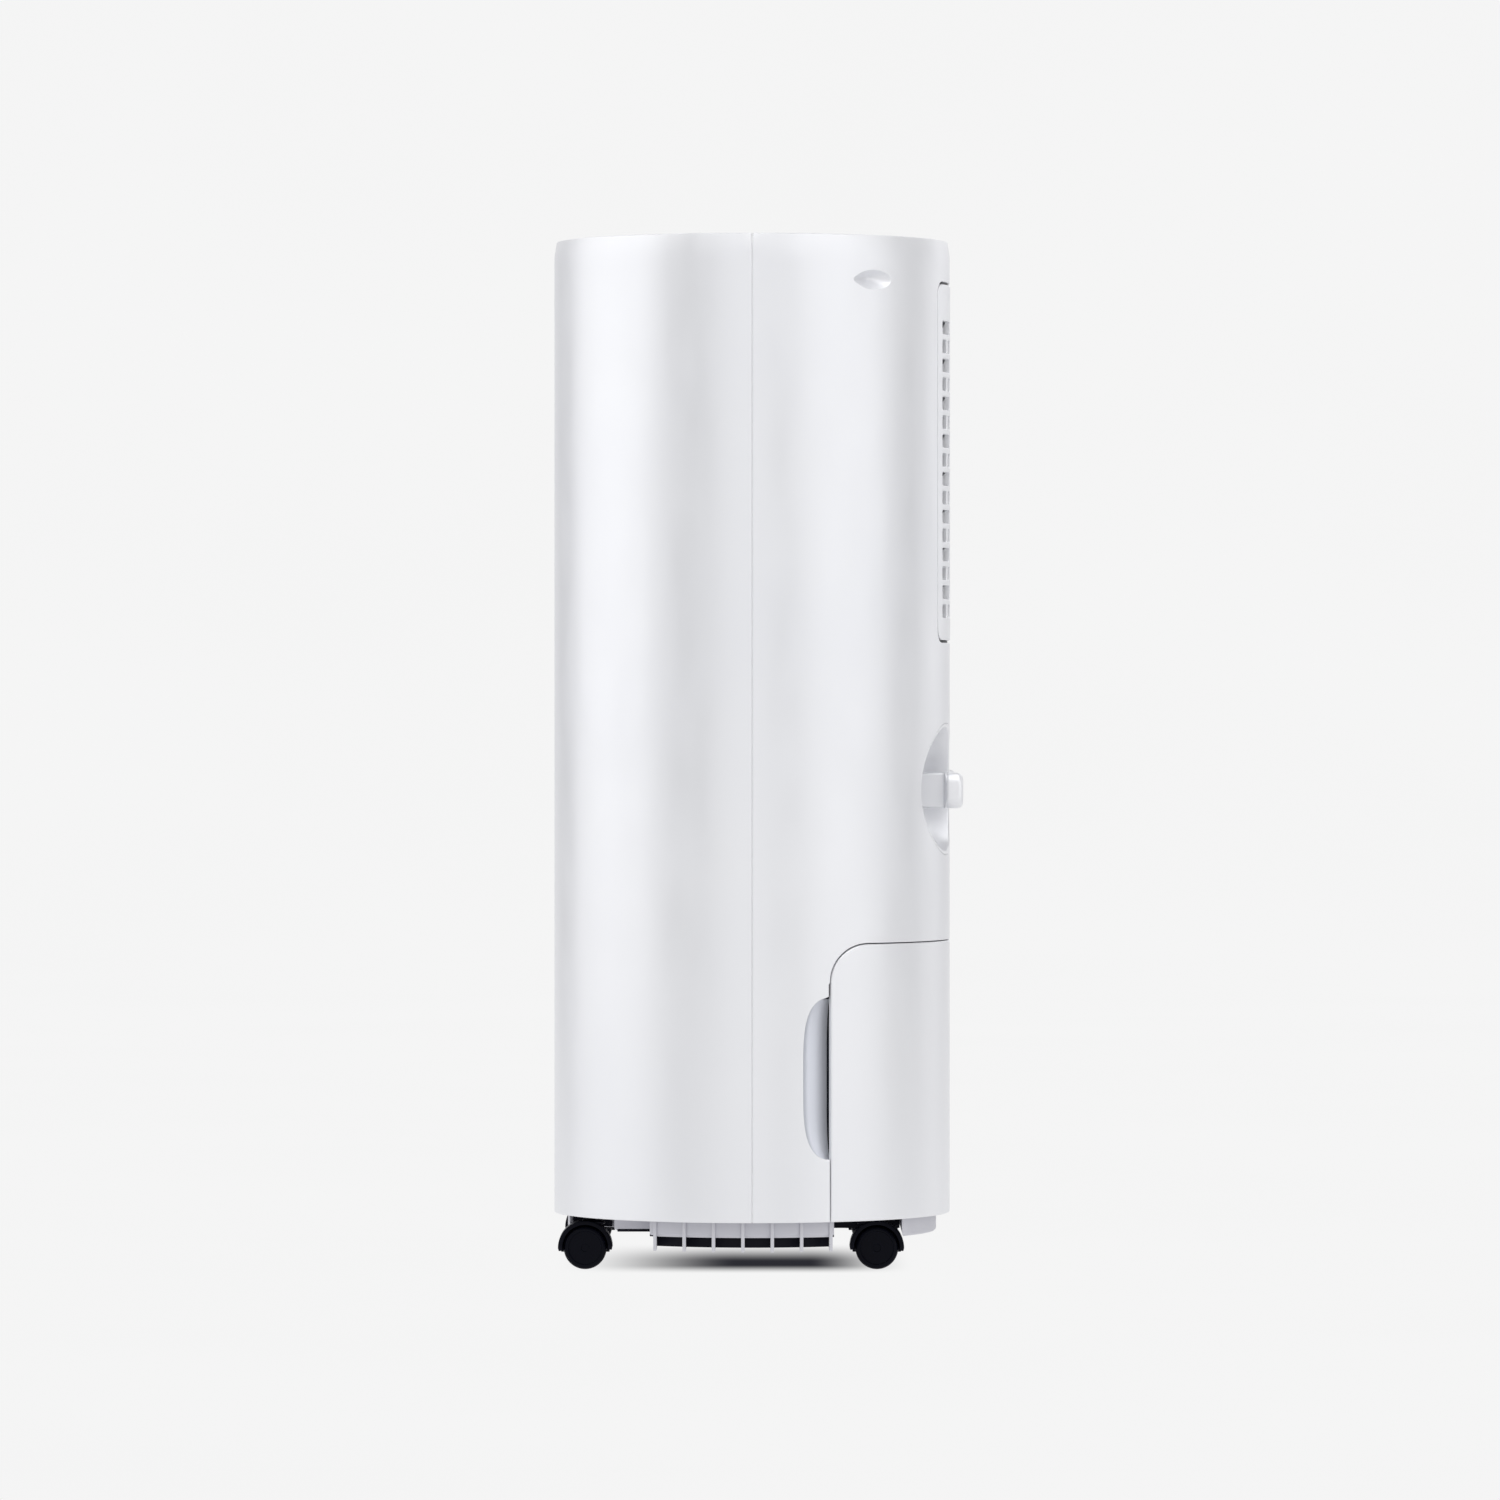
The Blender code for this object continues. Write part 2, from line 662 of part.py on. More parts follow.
def make_tank():
    """Bucket, panel, lid, carrying handle and float."""
    bucket = add_object("water_tank", prism(bucket_outline(0.0), BUCKET_LOW, BUCKET_HIGH), TANK_CLEAR)
    cut(bucket, prism(bucket_outline(BUCKET_WALL), BUCKET_LOW + BUCKET_WALL, BUCKET_HIGH + 0.01), TANK_CLEAR)

    section = [(INNER_RADIUS, 0.02), (END_RADIUS, 0.02), (END_RADIUS, 0.2), (INNER_RADIUS, 0.2)]
    panel = add_object("tank_panel", stadium_wall(section, 15.0, 165.0), WHITE)
    keep(panel, prism(tank_outline(-GAP), -0.2, 0.2, "X"), WHITE)
    cut(panel, box((-0.2, -0.2, 0.0), (0.2, 0.2, SHELL_BOTTOM)), WHITE)

    low = BUCKET_HIGH + GAP
    high = low + LID_THICK
    lid = add_object("tank_lid", prism(bucket_outline(0.0005), low, high), TRIM)
    inlet = rounded((-INLET_HALF_WIDTH, INLET_FRONT), (INLET_HALF_WIDTH, INLET_BACK), 0.006)
    cut(lid, prism(inlet, low - 0.01, high + 0.01), TRIM)
    for side in (-1, 1):
        inner = HANDLE_HALF_WIDTH + HANDLE_BAR / 2 + GAP
        spans = sorted((side * inner, side * (inner + LUG_THICK)))
        lug_low = (spans[0], HANDLE_PIVOT_Y - LUG_HALF_DEPTH, high - 0.001)
        lug_high = (spans[1], HANDLE_PIVOT_Y + LUG_HALF_DEPTH, high + LUG_HEIGHT)
        weld(lid, box(lug_low, lug_high), TRIM)

    bar_low = high + 0.0015
    pivot = (0.0, HANDLE_PIVOT_Y, bar_low + HANDLE_THICK / 2)
    outer = HANDLE_HALF_WIDTH + HANDLE_BAR / 2
    inner = HANDLE_HALF_WIDTH - HANDLE_BAR / 2
    front = HANDLE_PIVOT_Y - HANDLE_REACH
    back = HANDLE_PIVOT_Y + HANDLE_THICK / 2
    outline = [
        (-outer, front),
        (outer, front),
        (outer, back),
        (inner, back),
        (inner, front + HANDLE_BAR),
        (-inner, front + HANDLE_BAR),
        (-inner, back),
        (-outer, back),
    ]
    add_object("tank_handle", prism(outline, bar_low, bar_low + HANDLE_THICK), TRIM, pivot)

    x, y, z = FLOAT_PIVOT
    arm = [
        (y - 0.003, z - 0.003),
        (y + 0.006, z - FLOAT_DROP),
        (y + FLOAT_REACH, z - FLOAT_DROP),
        (y + FLOAT_REACH, z - 0.006),
        (y, z + 0.003),
    ]
    solid = prism(arm, x - FLOAT_HALF_WIDTH, x + FLOAT_HALF_WIDTH, "X")
    add_object("tank_float", solid, TRIM, FLOAT_PIVOT)


def make_base():
    """Base pan with its caster wells, and the ribbed skirt under each side."""
    sides = [(PAN_RADIUS, PAN_LOW), (PAN_RADIUS, PAN_STEP), (DECK_RADIUS, PAN_STEP), (DECK_RADIUS, PAN_HIGH)]
    pan = add_object("base_pan", stadium_stack(sides), TRIM)
    for x, y, _ in CASTERS.values():
        cut(pan, drum("Z", (x, y), WELL_RADIUS, 0.0, WELL_TOP), TRIM)
        cut(pan, drum("Z", (x, y), PIN_RADIUS + 2 * GAP, 0.02, 0.05, 12), TRIM)
    outline = comb(RIB_FIRST_Y, RIB_PITCH, RIB_COUNT, RIB_THICK, PAN_LOW - GAP, RIB_ROOT, RIB_LOW)
    for side, word in ((-1, "left"), (1, "right")):
        low, high = sorted((side * RIB_INNER_X, side * RIB_OUTER_X))
        skirt = add_object("rib_skirt_" + word, prism(outline, low, high, "X"), TRIM)
        low, high = sorted((side * DUCT_X, side * (DUCT_X + DUCT_WALL)))
        last = RIB_FIRST_Y + RIB_PITCH * (RIB_COUNT - 1)
        top = (RIB_ROOT + PAN_LOW) / 2
        weld(skirt, box((low, RIB_FIRST_Y + RIB_THICK / 2, DUCT_LOW), (high, last + RIB_THICK / 2, top)), TRIM)


def caster_hood():
    """Fender, centre web, axle and swivel pin of one caster, about its swivel axis."""
    wheel = (CASTER_TRAIL, WHEEL_RADIUS)
    arch = circle(wheel, HOOD_OUTER, 12, 0.0, 180.0) + circle(wheel, HOOD_INNER, 12, 0.0, 180.0)[::-1]
    hood = add_object("hood", prism(arch, -HOOD_HALF_WIDTH, HOOD_HALF_WIDTH, "X"), BLACK)
    web = circle(wheel, (HOOD_INNER + HOOD_OUTER) / 2, 14, -12.0, 192.0)
    weld(hood, prism(web, -WEB_HALF_THICK, WEB_HALF_THICK, "X"), BLACK)
    hub = WEB_HALF_THICK + 0.0002
    axle = [(-AXLE_HALF_LENGTH, 0.0), (-AXLE_HALF_LENGTH, AXLE_RADIUS), (-hub, AXLE_RADIUS), (-hub, HUB_RADIUS)]
    axle += [(-along, radius) for along, radius in axle[::-1]]
    weld(hood, lathe(axle, "X", wheel, 12), BLACK)
    neck = WELL_TOP - GAP
    pin = [
        (NECK_LOW, 0.0),
        (NECK_LOW, NECK_RADIUS),
        (neck, NECK_RADIUS),
        (neck, PIN_RADIUS),
        (PAN_HIGH - GAP, PIN_RADIUS),
        (PAN_HIGH - GAP, 0.0),
    ]
    weld(hood, lathe(pin, "Z", (0.0, 0.0), 12), BLACK)
    mesh = hood.data
    bpy.data.objects.remove(hood)
    return mesh


def wheel_profile():
    """Half section of one wheel with a blind bore for the axle, (along, radius)."""
    inner = WHEEL_FLANK
    outer = WHEEL_FLANK + WHEEL_WIDTH
    bore = AXLE_RADIUS + 0.0003
    return [
        (outer - 0.0009, 0.0),
        (outer - 0.0009, bore),
        (inner, bore),
        (inner, WHEEL_RADIUS - 0.0012),
        (inner + 0.0010, WHEEL_RADIUS),
        (outer - 0.0012, WHEEL_RADIUS),
        (outer - 0.0002, WHEEL_RADIUS - 0.0010),
        (outer, WHEEL_RADIUS - 0.0030),
        (outer, 0.0),
    ]


def make_casters():
    """Four swivelling casters, each with a wheel on either side of its web."""
    hood_mesh = caster_hood()
    wheels = {}
    for side, word in ((-1, "left"), (1, "right")):
        profile = [(side * along, radius) for along, radius in wheel_profile()]
        wheels[word] = lathe(profile, "X", (0.0, 0.0), WHEEL_STEPS, facet_down=True)
    meshes = {}
    for word, solid in wheels.items():
        model = add_object("wheel_model_" + word, solid, BLACK)
        meshes[word] = model.data
        bpy.data.objects.remove(model)
    for name, (x, y, facing) in CASTERS.items():
        hood = bpy.data.objects.new("caster_hood_" + name, hood_mesh)
        hood.location = (x, y, 0.0)
        hood.rotation_euler[2] = 0.0 if facing > 0 else math.pi
        bpy.context.collection.objects.link(hood)
        for word, mesh in meshes.items():
            wheel = bpy.data.objects.new("wheel_" + name + "_" + word, mesh)
            wheel.location = (x, y + facing * CASTER_TRAIL, WHEEL_RADIUS)
            bpy.context.collection.objects.link(wheel)


def make_deck():
    """Top cover with the air outlet, its louver and the louver's motor."""
    rim = 0.0015
    sides = [(DECK_RADIUS, DECK_LOW), (DECK_RADIUS, DECK_HIGH - rim), (DECK_RADIUS - rim, DECK_HIGH)]
    cover = add_object("top_cover", stadium_stack(sides), WHITE)
    outlet = rounded((-OUTLET_HALF_WIDTH, OUTLET_FRONT), (OUTLET_HALF_WIDTH, OUTLET_BACK), 0.004)
    cut(cover, prism(outlet, 0.57, 0.61), WHITE)
    bed = (-PANEL_HALF_WIDTH, PANEL_FRONT), (PANEL_HALF_WIDTH, PANEL_BACK)
    cut(cover, prism(rounded(*bed, 0.006), DECK_HIGH - PANEL_THICK - GAP, 0.61), WHITE)
    cut(cover, prism(rounded((-0.083, -0.086), (0.083, -0.064), 0.004), 0.57, 0.61), WHITE)

    face = rounded((bed[0][0] + GAP, bed[0][1] + GAP), (bed[1][0] - GAP, bed[1][1] - GAP), 0.006)
    panel = add_object("control_panel", prism(face, DECK_HIGH - PANEL_THICK, DECK_HIGH), GLOSS_BLACK)
    for x in BUTTON_X.values():
        cut(panel, drum("Z", (x, BUTTON_Y), BUTTON_RADIUS + BUTTON_CLEAR, 0.58, 0.61), GLOSS_BLACK)
    low = (-LENS_HALF_WIDTH, BUTTON_Y - LENS_HALF_DEPTH)
    high = (LENS_HALF_WIDTH, BUTTON_Y + LENS_HALF_DEPTH)
    cut(panel, prism(rounded(low, high, 0.002), 0.58, 0.61), GLOSS_BLACK)
    lens = rounded((low[0] + GAP, low[1] + GAP), (high[0] - GAP, high[1] - GAP), 0.002)
    add_object("display_lens", prism(lens, DECK_HIGH - PANEL_THICK, DECK_HIGH), LENS)

    top = DECK_HIGH + 0.0008
    for word, x in BUTTON_X.items():
        profile = [
            (top - BUTTON_HEIGHT, 0.0),
            (top - BUTTON_HEIGHT, BUTTON_RADIUS),
            (top - 0.0006, BUTTON_RADIUS),
            (top, BUTTON_RADIUS - 0.0008),
            (top, 0.0),
        ]
        add_object(word + "_button", lathe(profile, "Z", (x, BUTTON_Y)), GLOSS_BLACK, (x, BUTTON_Y, top))

    pivot = (0.0, LOUVER_AXIS_Y, LOUVER_AXIS_Z)
    half = OUTLET_HALF_WIDTH - 0.0008
    slab = rounded((-half, OUTLET_FRONT + 0.0008), (half, LOUVER_AXIS_Y + 0.0030), 0.003)
    low_z = LOUVER_AXIS_Z - LOUVER_THICK / 2
    add_object("outlet_louver", prism(slab, low_z, low_z + LOUVER_THICK), WHITE, pivot)
    motor = drum("X", (LOUVER_AXIS_Y, MOTOR_Z), MOTOR_RADIUS, *MOTOR_SPAN)
    add_object("louver_motor", motor, TRIM)
    add_object("control_board", box(*BOARD_CORNERS), BOARD)


def scroll_outline(inset):
    """Snail outline of the fan housing in (x, z), with its mouth at the top."""
    points = []
    steps = 22
    for index in range(steps + 1):
        angle = SCROLL_TONGUE + (360 - SCROLL_TONGUE) * index / steps
        grow = (SCROLL_END - SCROLL_START) * index / steps
        radius = SCROLL_START + grow - inset
        turn = math.radians(angle)
        points.append((radius * math.cos(turn), FAN_Z + radius * math.sin(turn)))
    mouth = SCROLL_TOP + (0.02 if inset else 0.0)
    return points + [(SCROLL_END - inset, mouth), (inset - SCROLL_LEFT, mouth)]


def impeller_outline():
    """Hub with straight blades in (x, z)."""
    points = []
    for index in range(BLADE_COUNT):
        angle = 2 * math.pi * index / BLADE_COUNT
        along = Vector((math.cos(angle), math.sin(angle)))
        across = Vector((-along.y, along.x)) * BLADE_THICK / 2
        for radius, side in ((IMPELLER_HUB, -1), (IMPELLER_RADIUS, -1), (IMPELLER_RADIUS, 1), (IMPELLER_HUB, 1)):
            point = along * radius + across * side
            points.append((point.x, FAN_Z + point.y))
    return points


def make_fan():
    """Snail housing, impeller and motor."""
    scroll = add_object("fan_scroll", prism(scroll_outline(0.0), FAN_FRONT, FAN_BACK, "Y"), TRIM)
    inner = prism(scroll_outline(SCROLL_WALL), FAN_FRONT + SCROLL_WALL, FAN_BACK - SCROLL_WALL, "Y")
    cut(scroll, inner, TRIM)
    cut(scroll, drum("Y", (0.0, FAN_Z), SCROLL_EYE, FAN_BACK - 0.005, FAN_BACK + 0.01), TRIM)
    cut(scroll, drum("Y", (0.0, FAN_Z), 0.010, FAN_FRONT - 0.01, FAN_FRONT + 0.005), TRIM)

    solid = prism(impeller_outline(), FAN_FRONT + 0.006, FAN_BACK - 0.010, "Y")
    fan = add_object("fan_impeller", solid, BLACK, (0.0, FAN_FRONT, FAN_Z))
    bore = drum("Y", (0.0, FAN_Z), SHAFT_RADIUS + GAP, FAN_FRONT, FAN_BACK)
    cut(fan, bore, BLACK)

    shaft_end = FAN_BACK - 0.012
    profile = [
        (-0.098, 0.0),
        (-0.098, 0.026),
        (-0.093, 0.034),
        (-0.060, 0.034),
        (-0.0545, 0.026),
        (-0.0545, SHAFT_RADIUS),
        (shaft_end, SHAFT_RADIUS),
        (shaft_end, 0.0),
    ]
    add_object("fan_motor", lathe(profile, "Y", (0.0, FAN_Z), WHEEL_STEPS), STEEL)


def make_refrigeration():
    """Compressor on three feet, two finned coils and the pipes between them."""
    top = COMPRESSOR_LOW + COMPRESSOR_HEIGHT
    profile = [(COMPRESSOR_LOW, 0.0)]
    profile += [(COMPRESSOR_LOW + up, radius) for up, radius in COMPRESSOR_SHAPE]
    profile.append((top, 0.0))
    add_object("compressor", lathe(profile, "Z", (COMPRESSOR_X, COMPRESSOR_Y), FINE_STEPS), STEEL)
    for index in range(3):
        angle = math.radians(90 + 120 * index)
        spot = (COMPRESSOR_X + FOOT_RING * math.cos(angle), COMPRESSOR_Y + FOOT_RING * math.sin(angle))
        foot = drum("Z", spot, FOOT_RADIUS, PAN_HIGH + GAP, COMPRESSOR_LOW - GAP, 12)
        add_object("compressor_foot_" + str(index + 1), foot, RUBBER)

    pitch = 2 * COIL_HALF_WIDTH / (FIN_COUNT - 1)
    for name, (front, back) in COILS.items():
        middle = (front + back) / 2
        outline = comb(-COIL_HALF_WIDTH, pitch, FIN_COUNT, FIN_THICK, middle, middle - COIL_SPINE, front)
        mirrored = [(x, 2 * middle - y) for x, y in outline[1:-1]]
        fins = outline[1:-1] + mirrored[::-1]
        add_object(name, prism(fins, COIL_LOW, COIL_HIGH), ALUMINIUM)

    top += 0.0005
    add_tube("suction_pipe", [
        (0.072, -0.050, top), (0.073, -0.049, 0.212), (0.098, -0.036, 0.236), (0.132, 0.000, 0.262),
        (0.142, 0.044, 0.310), (0.134, 0.072, 0.352), (0.118, 0.078, 0.364), (0.0995, 0.078, 0.366),
    ], SUCTION_RADIUS, COPPER)
    add_tube("discharge_pipe", [
        (0.048, -0.060, top), (0.048, -0.060, 0.210), (0.066, -0.040, 0.240), (0.100, 0.004, 0.272),
        (0.122, 0.036, 0.330), (0.126, 0.050, 0.384), (0.118, 0.052, 0.404), (0.0995, 0.052, 0.406),
    ], DISCHARGE_RADIUS, COPPER)
    add_tube("capillary_tube", [
        (-0.0995, 0.052, 0.380), (-0.112, 0.052, 0.378), (-0.122, 0.060, 0.366), (-0.116, 0.074, 0.356),
        (-0.0995, 0.078, 0.354),
    ], CAPILLARY_RADIUS, COPPER)

    low = (-TRAY_HALF_WIDTH, TRAY_FRONT, TRAY_LOW)
    high = (TRAY_HALF_WIDTH, TRAY_BACK, TRAY_HIGH)
    tray = add_object("drip_tray", box(low, high), TRIM)
    low = (low[0] + TRAY_WALL, low[1] + TRAY_WALL, low[2] + TRAY_WALL)
    high = (high[0] - TRAY_WALL, high[1] - TRAY_WALL, high[2] + 0.01)
    cut(tray, box(low, high), TRIM)
    hole = (0.0, DRAIN_Y)
    cut(tray, drum("Z", hole, DRAIN_BORE - 0.0002, TRAY_LOW - 0.01, TRAY_LOW + 0.01, 12), TRIM)
    drain = add_object("drain_tube", drum("Z", hole, DRAIN_RADIUS, DRAIN_LOW, TRAY_LOW - GAP, 16), TRIM)
    cut(drain, drum("Z", hole, DRAIN_BORE, DRAIN_LOW - 0.01, TRAY_LOW + 0.01, 16), TRIM)


def make_electrics():
    """Electrical box, humidity sensor and the switch that senses the tank."""
    low, high = CASE_CORNERS
    case = add_object("electrical_box", box(low, high), TRIM)
    wall = Vector((CASE_WALL, CASE_WALL, CASE_WALL))
    inner_low = Vector(low) + wall
    inner_high = Vector(high) - wall
    inner_high.y = high[1] + 0.01
    cut(case, box(inner_low, inner_high), TRIM)
    add_object("humidity_sensor", box(*SENSOR_CORNERS), BOARD)
    add_object("tank_switch", box(*SWITCH_CORNERS), BLACK)


def main():
    """Build the whole dehumidifier."""
    clear_scene()
    make_shells()
    make_cleats()
    make_gland()
    make_grille()
    make_tank()
    make_base()
    make_casters()
    make_deck()
    make_fan()
    make_refrigeration()
    make_electrics()
    middle = bpy.data.objects.new("casing_middle", None)
    middle.location = (0.0, -CLEAT_PROUD / 2, 0.0)
    bpy.context.collection.objects.link(middle)
    for item in bpy.data.objects:
        if item is not middle:
            item.parent = middle


main()
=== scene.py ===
"""Looks of the tall oval dehumidifier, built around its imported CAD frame."""

import json
import math

import bmesh
import bpy
import numpy as np
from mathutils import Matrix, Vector
from mathutils.geometry import delaunay_2d_cdt


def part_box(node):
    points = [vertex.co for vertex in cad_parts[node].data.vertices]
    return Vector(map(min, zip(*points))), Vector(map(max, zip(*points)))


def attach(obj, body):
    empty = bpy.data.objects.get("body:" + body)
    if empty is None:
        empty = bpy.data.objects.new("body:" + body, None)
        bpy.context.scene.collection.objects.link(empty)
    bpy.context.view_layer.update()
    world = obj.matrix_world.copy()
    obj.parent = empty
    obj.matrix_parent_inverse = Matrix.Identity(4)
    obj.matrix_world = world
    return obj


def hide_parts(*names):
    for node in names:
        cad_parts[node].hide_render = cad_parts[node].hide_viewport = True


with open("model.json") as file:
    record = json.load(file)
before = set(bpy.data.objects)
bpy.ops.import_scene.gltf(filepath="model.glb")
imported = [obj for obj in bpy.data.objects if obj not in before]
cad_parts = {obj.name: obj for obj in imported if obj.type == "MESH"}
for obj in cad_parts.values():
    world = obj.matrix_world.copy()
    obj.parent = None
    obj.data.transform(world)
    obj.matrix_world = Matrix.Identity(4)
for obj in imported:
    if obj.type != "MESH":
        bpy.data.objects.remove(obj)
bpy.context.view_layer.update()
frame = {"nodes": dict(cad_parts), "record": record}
CAD_NODES = frame["nodes"]

# Driving places, all read from the CAD frame
FRONT_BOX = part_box("front_shell")
REAR_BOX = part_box("rear_shell")
GRILLE_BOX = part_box("inlet_grille")
TANK_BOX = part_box("tank_panel")
DECK_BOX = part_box("top_cover")
PANEL_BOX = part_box("control_panel")
LOUVER_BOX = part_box("outlet_louver")
PAN_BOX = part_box("base_pan")
MIDDLE_Y = (FRONT_BOX[0].y + REAR_BOX[1].y) / 2
RADIUS = (REAR_BOX[1].y - FRONT_BOX[0].y) / 2
END_X = REAR_BOX[1].x - RADIUS
TOP = REAR_BOX[1].z
BOTTOM = REAR_BOX[0].z
QUARTER = RADIUS * math.pi / 2
BACK_LENGTH = 2 * QUARTER + 2 * END_X

# The two ends of the oval by the sign of x, and the four casters. All sizes below are in metres.
SIDES = ((1, "right"), (-1, "left"))
CASTERS = ("front_left", "front_right", "rear_left", "rear_right")

# Walls and edges
WALL = 0.003
FILLET = 0.0005
SEAM = 0.00028
LIP_DEPTH = 0.0007
RIM_ROUND = 0.0030
TANK_CORNER = 0.022

# Meshing: usual edge length, how far every second outline point moves out, and the smallest triangle kept
EDGE = 0.006
RUFFLE = 2e-6
SPECK = 3e-9

# Hand grips, and the black strips beside the tank that paint the shadow in its gaps
GRIP_FRONT = 0.0295
GRIP_LOW = 0.0675
GRIP_HIGH = 0.1605
GRIP_DEPTH = 0.0095
GRIP_SLIT = 0.0008
GRIP_TUCK = 0.0024
SHADOW_STRIP_GAP = 0.0007
SHADOW_STRIP_TOP = 0.1680

# Cord dishes and finger scoops
DISH_BROADER = 0.0018
HOOK_LOWER = 0.0007
SCOOP_ANGLE = 37.0
SCOOP_HEIGHT = 0.5740
SCOOP_SIZE = (0.0133, 0.0054)
SCOOP_DEPTH = 0.0058

# Grille slots
GRILLE_PROUD = 0.0003
SLOT_ROWS = 16
SLOTS_ACROSS = 7.5
SLOT_PITCH = 0.01103
SLOT_TOP = 0.5489
SLOT_HALF_HEIGHT = 0.00395
SLOT_HALF_SPAN = 0.1030
SLOT_BAR = 0.0030

# Base: the lower pan is set back round the casters, and its end block hangs lower
PAN_INSET = 0.0045
CASTER_TRAIL = 0.004
WELL_RADIUS = 0.0180
WELL_ROOF = 0.0338
RIB_SPAN = 0.0590
REAR_BLOCK = 0.0870
RIB_REAR = 0.0472
FRONT_FLAT = 0.1150
REAR_FLAT = 0.0808
BLOCK_DROP = 0.0038
TIER_DROP = 0.0014
RIB_COUNT = 7
RIB_THICK = 0.0020

# Paper surroundings: the sweep is large enough to stand behind every view's camera
FLOOR_HALF_WIDTH = 10.0
FLOOR_REACH = 0.6
FOREGROUND_END = 3.6
SWEEP_START = 4.4
SWEEP_BEND = 2.4
SWEEP_TOP = 4.4
PAPER = (0.914, 0.914, 0.914)
PAPER_DEEP = (0.908, 0.908, 0.908)
PAPER_FAR = (0.42, 0.42, 0.43)
# Colour of the soft shadow painted on the floor under the object
PAINTED_SHADOW_TONE = (0.026, 0.026, 0.033)
# Painted shadow on the floor: axis, where the shadow begins and is full, where it starts to fade and has gone
PAINTED_SHADOW_SPAN = (("X", -0.130, 0.040, 0.070, 0.148), ("Y", -0.120, -0.012, 0.030, 0.092))

# Camera and lights; a light is its name, place, aim, size and power
WORLD_LIGHT = 0.375
CAMERA_PLACE = (5.2, -0.0047, 0.3415)
CAMERA_LENS = 209.8
CAMERA_SHIFT = -0.0447
LIGHTS = (
    ("front_softbox", (0.17, -2.0, 0.9), (0.0, 0.0, 0.45), (2.6, 2.6), 21.8),
    ("back_softbox", (1.38, 1.74, 0.9), (0.0, 0.0, 0.45), (2.2, 2.6), 15.8),
    ("rim_softbox", (-1.6, 1.5, 0.8), (0.0, 0.0, 0.45), (0.9, 2.4), 4.5),
    ("fill", (4.0, -0.4, 1.6), (0.0, 0.0, 0.4), (4.4, 2.4), 20.0),
    ("overhead", (0.5, 0.0, 2.6), (0.0, 0.0, 0.3), (3.2, 3.2), 58.0),
)


# ---------------------------------------------------------------- outlines

def on_casing(s, depth=0.0):
    """Point (x, y) at arc length s along the casing: 0 is its right-hand tip, positive runs round the back."""
    side = -1.0 if s < 0 else 1.0
    run = abs(s)
    if run <= QUARTER:
        angle, centre = run / RADIUS, END_X
    elif run <= QUARTER + 2 * END_X:
        angle, centre = math.pi / 2, END_X - (run - QUARTER)
    else:
        angle, centre = math.pi / 2 + (run - QUARTER - 2 * END_X) / RADIUS, -END_X
    x = centre + (RADIUS - depth) * math.cos(angle)
    return x, MIDDLE_Y + side * (RADIUS - depth) * math.sin(angle)


def casing(s, z, depth):
    """Point on the casing, which rounds over at its top rim."""
    over = z - (TOP - RIM_ROUND)
    if over > 0.0:
        depth += RIM_ROUND - math.sqrt(max(RIM_ROUND ** 2 - over ** 2, 0.0))
    x, y = on_casing(s, depth)
    return Vector((x, y, z))


def arc_at_x(x):
    """Arc length on the back of the casing at this x."""
    if x >= END_X:
        return RADIUS * math.acos(min((x - END_X) / RADIUS, 1.0))
    if x >= -END_X:
        return QUARTER + END_X - x
    return BACK_LENGTH - arc_at_x(-x)


def arc_at_y(y):
    """Arc length on the right-hand end at this distance behind the middle."""
    return RADIUS * math.asin(y / RADIUS)


def arc_points(a, b, radius, start, stop, steps):
    """Points on an arc of a flat outline, angles in degrees."""
    points = []
    for index in range(steps + 1):
        angle = math.radians(start + (stop - start) * index / steps)
        points.append(Vector((a + radius * math.cos(angle), b + radius * math.sin(angle))))
    return points


def round_rectangle(low, high, radius, steps=5):
    """Counter-clockwise rectangle with round corners."""
    points = []
    corners = ((high[0], high[1], 0), (low[0], high[1], 90), (low[0], low[1], 180), (high[0], low[1], 270))
    for a, b, start in corners:
        inset_a = -radius if a == high[0] else radius
        inset_b = -radius if b == high[1] else radius
        points += arc_points(a + inset_a, b + inset_b, radius, start, start + 90, steps)
    return points


def densify(loop, step=EDGE):
    """Split the long edges of a closed outline."""
    points = []
    for here, after in zip(loop, loop[1:] + loop[:1]):
        count = max(1, math.ceil((after - here).length / step - 1e-6))
        points += [here.lerp(after, index / count) for index in range(count)]
    return points


def shifted(loop, amount):
    """Move a closed outline to its left, which is towards the material."""
    moved = []
    for index, here in enumerate(loop):
        into = (here - loop[index - 1]).normalized()
        away = (loop[(index + 1) % len(loop)] - here).normalized()
        left = Vector((-into.y - away.y, into.x + away.x)).normalized()
        share = max(left.dot(Vector((-into.y, into.x))), 0.6)
        moved.append(here + left * amount / share)
    return moved


def signed_area(loop):
    """Positive when the outline runs counter-clockwise."""
    return sum(a.x * b.y - b.x * a.y for a, b in zip(loop, loop[1:] + loop[:1])) / 2


def turned(loop, counter_clockwise):
    """The outline in the asked direction."""
    return loop if (signed_area(loop) > 0) == counter_clockwise else loop[::-1]


def inside(points, loops):
    """Even-odd test of many points against all the loops at once."""
    px, py = points[:, 0], points[:, 1]
    odd = np.zeros(len(points), bool)
    for loop in loops:
        corners = np.array([tuple(p) for p in loop])
        for (ax, ay), (bx, by) in zip(corners, np.roll(corners, -1, axis=0)):
            if ay == by:
                continue
            crosses = (ay > py) != (by > py)
            odd ^= crosses & (px < (bx - ax) * (py - ay) / (by - ay) + ax)
    return odd


